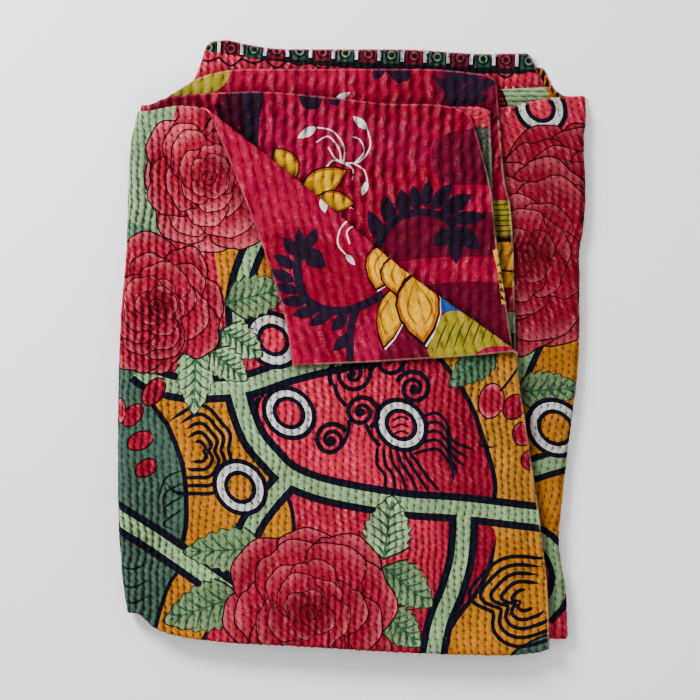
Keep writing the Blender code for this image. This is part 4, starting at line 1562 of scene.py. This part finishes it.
class Nodes:
    """A material's nodes, with the few functions that a formula needs."""

    def __init__(self, material):
        material.use_nodes = True
        self.tree = material.node_tree
        self.shader = self.tree.nodes["Principled BSDF"]

    def add(self, kind, **values):
        node = self.tree.nodes.new(kind)
        for name, value in values.items():
            setattr(node, name, value)
        return node

    def set(self, socket, value):
        if isinstance(value, Term):
            value = value.socket
        if isinstance(value, bpy.types.NodeSocket):
            self.tree.links.new(value, socket)
        else:
            socket.default_value = value

    def maths(self, operation, *values):
        node = self.add("ShaderNodeMath", operation=operation)
        for socket, value in zip(node.inputs, values):
            self.set(socket, value)
        return Term(self, node.outputs["Value"])

    def sin(self, value):
        return self.maths("SINE", value)

    def abs(self, value):
        return self.maths("ABSOLUTE", value)

    def floor(self, value):
        return self.maths("FLOOR", value)

    def exp(self, value):
        return self.maths("EXPONENT", value)

    def noise(self, place, scale, detail=2.0, roughness=0.5, distortion=0.0, turn=0.0):
        mapping = self.add("ShaderNodeMapping")
        self.set(mapping.inputs["Vector"], place)
        mapping.inputs["Rotation"].default_value = (0.0, 0.0, turn)
        mapping.inputs["Scale"].default_value = (*scale, 1.0)
        node = self.add("ShaderNodeTexNoise")
        self.set(node.inputs["Vector"], mapping.outputs["Vector"])
        node.inputs["Scale"].default_value = 1.0
        node.inputs["Detail"].default_value = detail
        node.inputs["Roughness"].default_value = roughness
        node.inputs["Distortion"].default_value = distortion
        return Term(self, node.outputs["Fac"])

    def ranged(self, value, low, high, to_low=0.0, to_high=1.0):
        node = self.add("ShaderNodeMapRange", interpolation_type="SMOOTHSTEP")
        for name, setting in (("Value", value), ("From Min", low), ("From Max", high),
                              ("To Min", to_low), ("To Max", to_high)):
            self.set(node.inputs[name], setting)
        return Term(self, node.outputs["Result"])

    def mix(self, factor, first, second, blend="MIX"):
        node = self.add("ShaderNodeMix", data_type="RGBA", blend_type=blend)
        for name, value in (("Factor", factor), ("A", first), ("B", second)):
            self.set([socket for socket in node.inputs if socket.name == name and socket.enabled][0],
                     value)
        return [socket for socket in node.outputs if socket.enabled][0]

    def grey(self, value):
        node = self.add("ShaderNodeCombineColor")
        for channel in ("Red", "Green", "Blue"):
            self.set(node.inputs[channel], value)
        return node.outputs["Color"]


def cloth_material(palette, looks):
    """Printed cotton, paler on its crests with wear and painted highlight.

    It is darkened along its rows of stitches with painted shade, and has its rows of stitches and small
    wrinkles.
    """
    material = bpy.data.materials.new("quilt_cloth")
    nodes = Nodes(material)
    cloth = nodes.add("ShaderNodeUVMap", uv_map="cloth").outputs["UV"]
    colour = nodes.add("ShaderNodeAttribute", attribute_name="print").outputs["Color"]
    streak = Term(nodes, nodes.add("ShaderNodeAttribute", attribute_name="streak").outputs["Fac"])
    split = nodes.add("ShaderNodeSeparateXYZ")
    nodes.set(split.inputs["Vector"], nodes.add("ShaderNodeUVMap", uv_map="rows").outputs["UV"])
    u, v = (Term(nodes, split.outputs[axis]) * 1000.0 for axis in ("X", "Y"))
    puckered = Term(nodes, nodes.add("ShaderNodeAttribute", attribute_name="pucker").outputs["Fac"])
    puckered = puckered * nodes.ranged(nodes.noise(cloth, (9.0, 9.0)), 0.35, 0.65, 0.62, 1.1)
    fullness = relief(u, v, nodes)

    crest = nodes.ranged(fullness, 0.55, 0.98)
    patches = nodes.ranged(nodes.noise(cloth, (60.0, 38.0)), 0.36, 0.62)
    ragged = nodes.ranged(nodes.noise(cloth, (420.0, 120.0), 3.0, 0.6), 0.38, 0.62)
    # Pale streaks on the crests: partly wear, partly painted highlight
    pale = crest * patches * ragged * streak * looks.streak_strength
    colour = nodes.mix(pale, colour, (*palette["streak"], 1.0))
    worn = nodes.ranged(nodes.noise(cloth, (300.0, 300.0), 3.0, 0.65), 0.55, 0.75) * crest * 0.07
    colour = nodes.mix(worn, colour, (*palette["worn"], 1.0))
    # Painted shade: darker along the lines of stitches, and darker still where the cloth is puckered
    hollow_shade = nodes.ranged(fullness, -0.34, 0.1, 1.0 - looks.hollow_shade_depth, 1.0)
    hollow_shade = hollow_shade * (nodes.ranged(fullness, 0.0, 0.75, -0.46, 0.0) * puckered + 1.0)
    wash = nodes.ranged(nodes.noise(cloth, (22.0, 22.0)), 0.3, 0.7, 0.84, 1.16)
    mottle = nodes.ranged(nodes.noise(cloth, (150.0, 110.0), 3.0, 0.6), 0.3, 0.7, 0.86, 1.14)
    weave = nodes.ranged(nodes.noise(cloth, (1100.0, 1100.0), 1.0), 0.3, 0.7, 0.94, 1.06)
    colour = nodes.mix(1.0, colour, nodes.grey(hollow_shade * wash * mottle * weave), "MULTIPLY")
    nodes.set(nodes.shader.inputs["Base Color"], colour)

    creases = nodes.noise(cloth, (110.0, 230.0), 3.0, 0.55, 0.8, 0.15)
    fine = nodes.noise(cloth, (700.0, 700.0), 2.0)
    bump = nodes.add("ShaderNodeBump")
    bump.inputs["Strength"].default_value = looks.wrinkle_strength
    bump.inputs["Distance"].default_value = BUMP_DEPTH
    nodes.set(bump.inputs["Height"], fullness * puckered * 0.95 + creases * 0.8 + fine * 0.07)
    nodes.set(nodes.shader.inputs["Normal"], bump.outputs["Normal"])
    make_matt(nodes.shader, CLOTH_ROUGHNESS)
    return material


# ---------------------------------------------------------------- what a user may change
DYES = {
    "crimson": ("A01530", "Ground of the front"),
    "crimson_light": ("B8203C", "Light patches of the ground"),
    "crimson_deep": ("820C24", "Deep patches of the ground"),
    "crimson_back": ("7A0222", "Ground of the back"),
    "magenta": ("8A0430", "Bright patches of the back"),
    "ochre_pale": ("AC7020", "Paler ochre of the right side"),
    "crimson_side": ("7C0A24", "Shaded side of the light patches"),
    "maroon_dark": ("38061A", "Darkest patches of the back"),
    "border_green": ("5A7C5C", "Border's green marks"),
    "maroon": ("5A0420", "Dark patches of the back"),
    "magenta_light": ("8C022C", "Brightest patches of the back"),
    # Pale streaks on the crests, partly wear and partly painted highlight
    "streak": ("EC7C90", "Pale streaks"),
    "worn": ("C8BCAC", "Worn crests"),
    "rose": ("8C0E28", "Petals"),
    "rose_deep": ("720A1E", "Inner petals"),
    "rose_rim": ("C24E5C", "Petals' rims"),
    "rose_line": ("1C060C", "Petals' outlines"),
    "sage": ("80A072", "Stems"),
    "sage_light": ("8AA67A", "Leaves"),
    "sage_pale": ("74906A", "Pale ground"),
    "leaf_deep": ("6C865C", "Leaves' deeper green"),
    "leaf_green": ("48684C", "The darkest leaf"),
    "leaf_dark": ("30523A", "Leaves' veins"),
    "leaf_line": ("16281E", "Leaves' outlines"),
    "green_dark": ("3A5446", "Dark ground"),
    "green_mid": ("4C7058", "Middle green ground"),
    "green_line": ("0E1A1A", "Lines on the dark ground"),
    "ochre": ("B06C12", "Ochre patches"),
    "orange": ("A45804", "Lilies' throats"),
    "amber": ("C07C10", "Amber patches of the back"),
    "yellow": ("E0A206", "Lilies' petals"),
    "navy": ("0C0E1C", "Outlines"),
    "vine_line": ("9A2848", "Thin stems of the vines' leaves"),
    "plum": ("1E0F22", "Vines"),
    "plum_dark": ("22060E", "Lilies' outlines"),
    "white": ("E0DCD8", "Rings and sprigs"),
    "ring": ("CCC8C4", "Rings"),
    "blue": ("22468A", "Small blue patch"),
    "olive": ("8A7C1C", "Olive leaves"),
    "olive_line": ("34340E", "Olive leaves' veins"),
    "border_wine": ("640A1C", "Border's wine squares"),
    "border_teal": ("1A4038", "Border's teal squares"),
    "border_rose": ("902840", "Border's rose marks"),
    "border_line": ("101418", "Border's lines"),
    "hem_end": ("C4526C", "Hems along the cloth's ends"),
    "hem": ("CCAC90", "Hems down the cloth's sides"),
    "stitch_front": ("3C0A12", "Thread on the front"),
    "stitch_back": ("4A0618", "Thread on the back"),
}


def linear(text):
    """A screen colour, as six hex digits, in linear light."""
    values = [int(text[place:place + 2], 16) / 255.0 for place in (0, 2, 4)]
    return tuple(v / 12.92 if v <= 0.04045 else ((v + 0.055) / 1.055) ** 2.4 for v in values)


class QuiltDyes(bpy.types.PropertyGroup):
    """The colours of the cloth and its thread."""

    __annotations__ = {
        name: bpy.props.FloatVectorProperty(
            name=name.replace("_", " ").capitalize(), description=use, default=linear(text),
            min=0.0, max=1.0, subtype="COLOR")
        for name, (text, use) in DYES.items()
    }

    def palette(self):
        return {name: tuple(getattr(self, name)) for name in DYES}


class QuiltLooks(bpy.types.PropertyGroup):
    """How the cloth and the light look."""

    # The pale streaks on the crests are partly wear, partly painted highlight
    streak_strength: bpy.props.FloatProperty(
        name="Streaks", description="How strongly the pale streaks show", default=1.0, min=0.0,
        max=1.0, subtype="FACTOR")
    wrinkle_strength: bpy.props.FloatProperty(
        name="Wrinkles", description="How strongly the small wrinkles show", default=0.9, min=0.0,
        max=1.0, subtype="FACTOR")
    # Depth of the painted shade along the lines of stitches
    hollow_shade_depth: bpy.props.FloatProperty(
        name="Hollows", description="How much darker the cloth is along its lines of stitches",
        default=0.68, min=0.0, max=1.0, subtype="FACTOR")
    floor_size: bpy.props.FloatProperty(
        name="Floor", description="Side of the floor", default=16.0, min=2.0, unit="LENGTH")
    floor_colour: bpy.props.FloatVectorProperty(
        name="Floor colour", description="Colour of the floor", default=(1.0, 1.0, 1.0), min=0.0,
        max=1.0, subtype="COLOR")
    light_power: bpy.props.FloatProperty(
        name="Key light", description="Power of the key light", default=120.0, min=0.0, unit="POWER")
    fill_strength: bpy.props.FloatProperty(
        name="Fill light", description="Strength of the light from all round", default=1.0, min=0.0)
    view_width: bpy.props.FloatProperty(
        name="View", description="Width of the view at the quilt's top", default=0.931, min=0.1,
        unit="LENGTH")


# ---------------------------------------------------------------- the stage, in metres
KEY_PLACE = Vector((-1.5, 1.5, 1.45))
KEY_AIM = Vector((0.0, 0.0, 0.02))
KEY_SIZE = 1.1
VIEW_CENTRE = (-0.0023, -0.0038)
VIEW_LEVEL = 0.036  # the height at which the view has its set width
VIEW_LENS, VIEW_SENSOR = 300.0, 36.0  # in millimetres
VIEW_REACH = 20.0


# ---------------------------------------------------------------- operators
class QUILT_OT_cloth(bpy.types.Operator):
    """Make the folded cloth with its print"""

    bl_idname = "quilt.cloth"
    bl_label = "Make the cloth"

    def execute(self, context):
        palette = context.scene.quilt_dyes.palette()
        quilt = cloth_object(palette)
        quilt.data.materials.append(cloth_material(palette, context.scene.quilt_looks))
        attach(quilt, "root")
        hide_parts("quilt")
        return {"FINISHED"}


class QUILT_OT_stitches(bpy.types.Operator):
    """Make the running stitches that show"""

    bl_idname = "quilt.stitches"
    bl_label = "Make the stitches"

    def execute(self, context):
        stitches = stitch_object(context.scene.quilt_dyes.palette())
        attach(stitches, "root")
        return {"FINISHED"}


class QUILT_OT_stage(bpy.types.Operator):
    """Make the floor, the lights and the view"""

    bl_idname = "quilt.stage"
    bl_label = "Make the stage"

    def execute(self, context):
        looks = context.scene.quilt_looks
        half = looks.floor_size / 2
        mesh = bpy.data.meshes.new("floor")
        mesh.from_pydata([(-half, -half, 0), (half, -half, 0), (half, half, 0), (-half, half, 0)], [],
                         [(0, 1, 2, 3)])
        floor = linked("floor", mesh)
        mesh.materials.append(plain_material("floor", looks.floor_colour))

        world = bpy.data.worlds.new("studio")
        world.use_nodes = True
        back = world.node_tree.nodes["Background"]
        back.inputs["Color"].default_value = (1.0, 1.0, 1.0, 1.0)
        back.inputs["Strength"].default_value = looks.fill_strength
        context.scene.world = world
        light = bpy.data.lights.new("key", "AREA")
        light.energy = looks.light_power
        light.shape = "DISK"
        light.size = KEY_SIZE
        key = linked("key", light)
        key.location = KEY_PLACE
        key.rotation_euler = (KEY_AIM - KEY_PLACE).to_track_quat("-Z", "Y").to_euler()

        view = bpy.data.cameras.new("view")
        view.lens, view.sensor_width, view.clip_end = VIEW_LENS, VIEW_SENSOR, VIEW_REACH
        camera = linked("view", view)
        camera.location = (*VIEW_CENTRE, VIEW_LEVEL + looks.view_width * VIEW_LENS / VIEW_SENSOR)
        context.scene.camera = camera
        return {"FINISHED"}


class QUILT_PT_panel(bpy.types.Panel):
    """The quilt's settings and its steps"""

    bl_idname = "QUILT_PT_panel"
    bl_label = "Folded quilt"
    bl_space_type = "VIEW_3D"
    bl_region_type = "UI"
    bl_category = "Quilt"

    def draw(self, context):
        layout = self.layout
        for group in (context.scene.quilt_looks, context.scene.quilt_dyes):
            for name in group.__annotations__:
                layout.prop(group, name)
        for operator in (QUILT_OT_cloth, QUILT_OT_stitches, QUILT_OT_stage):
            layout.operator(operator.bl_idname)


CLASSES = (QuiltDyes, QuiltLooks, QUILT_OT_cloth, QUILT_OT_stitches, QUILT_OT_stage, QUILT_PT_panel)


def register():
    for item in CLASSES:
        bpy.utils.register_class(item)
    bpy.types.Scene.quilt_dyes = bpy.props.PointerProperty(type=QuiltDyes)
    bpy.types.Scene.quilt_looks = bpy.props.PointerProperty(type=QuiltLooks)


def unregister():
    del bpy.types.Scene.quilt_looks
    del bpy.types.Scene.quilt_dyes
    for item in reversed(CLASSES):
        bpy.utils.unregister_class(item)


def main():
    register()
    for name in ("Cube", "Light", "Camera"):
        if name in bpy.data.objects:
            bpy.data.objects.remove(bpy.data.objects[name])
    bpy.ops.quilt.cloth()
    bpy.ops.quilt.stitches()
    bpy.ops.quilt.stage()


if __name__ == "__main__":
    main()
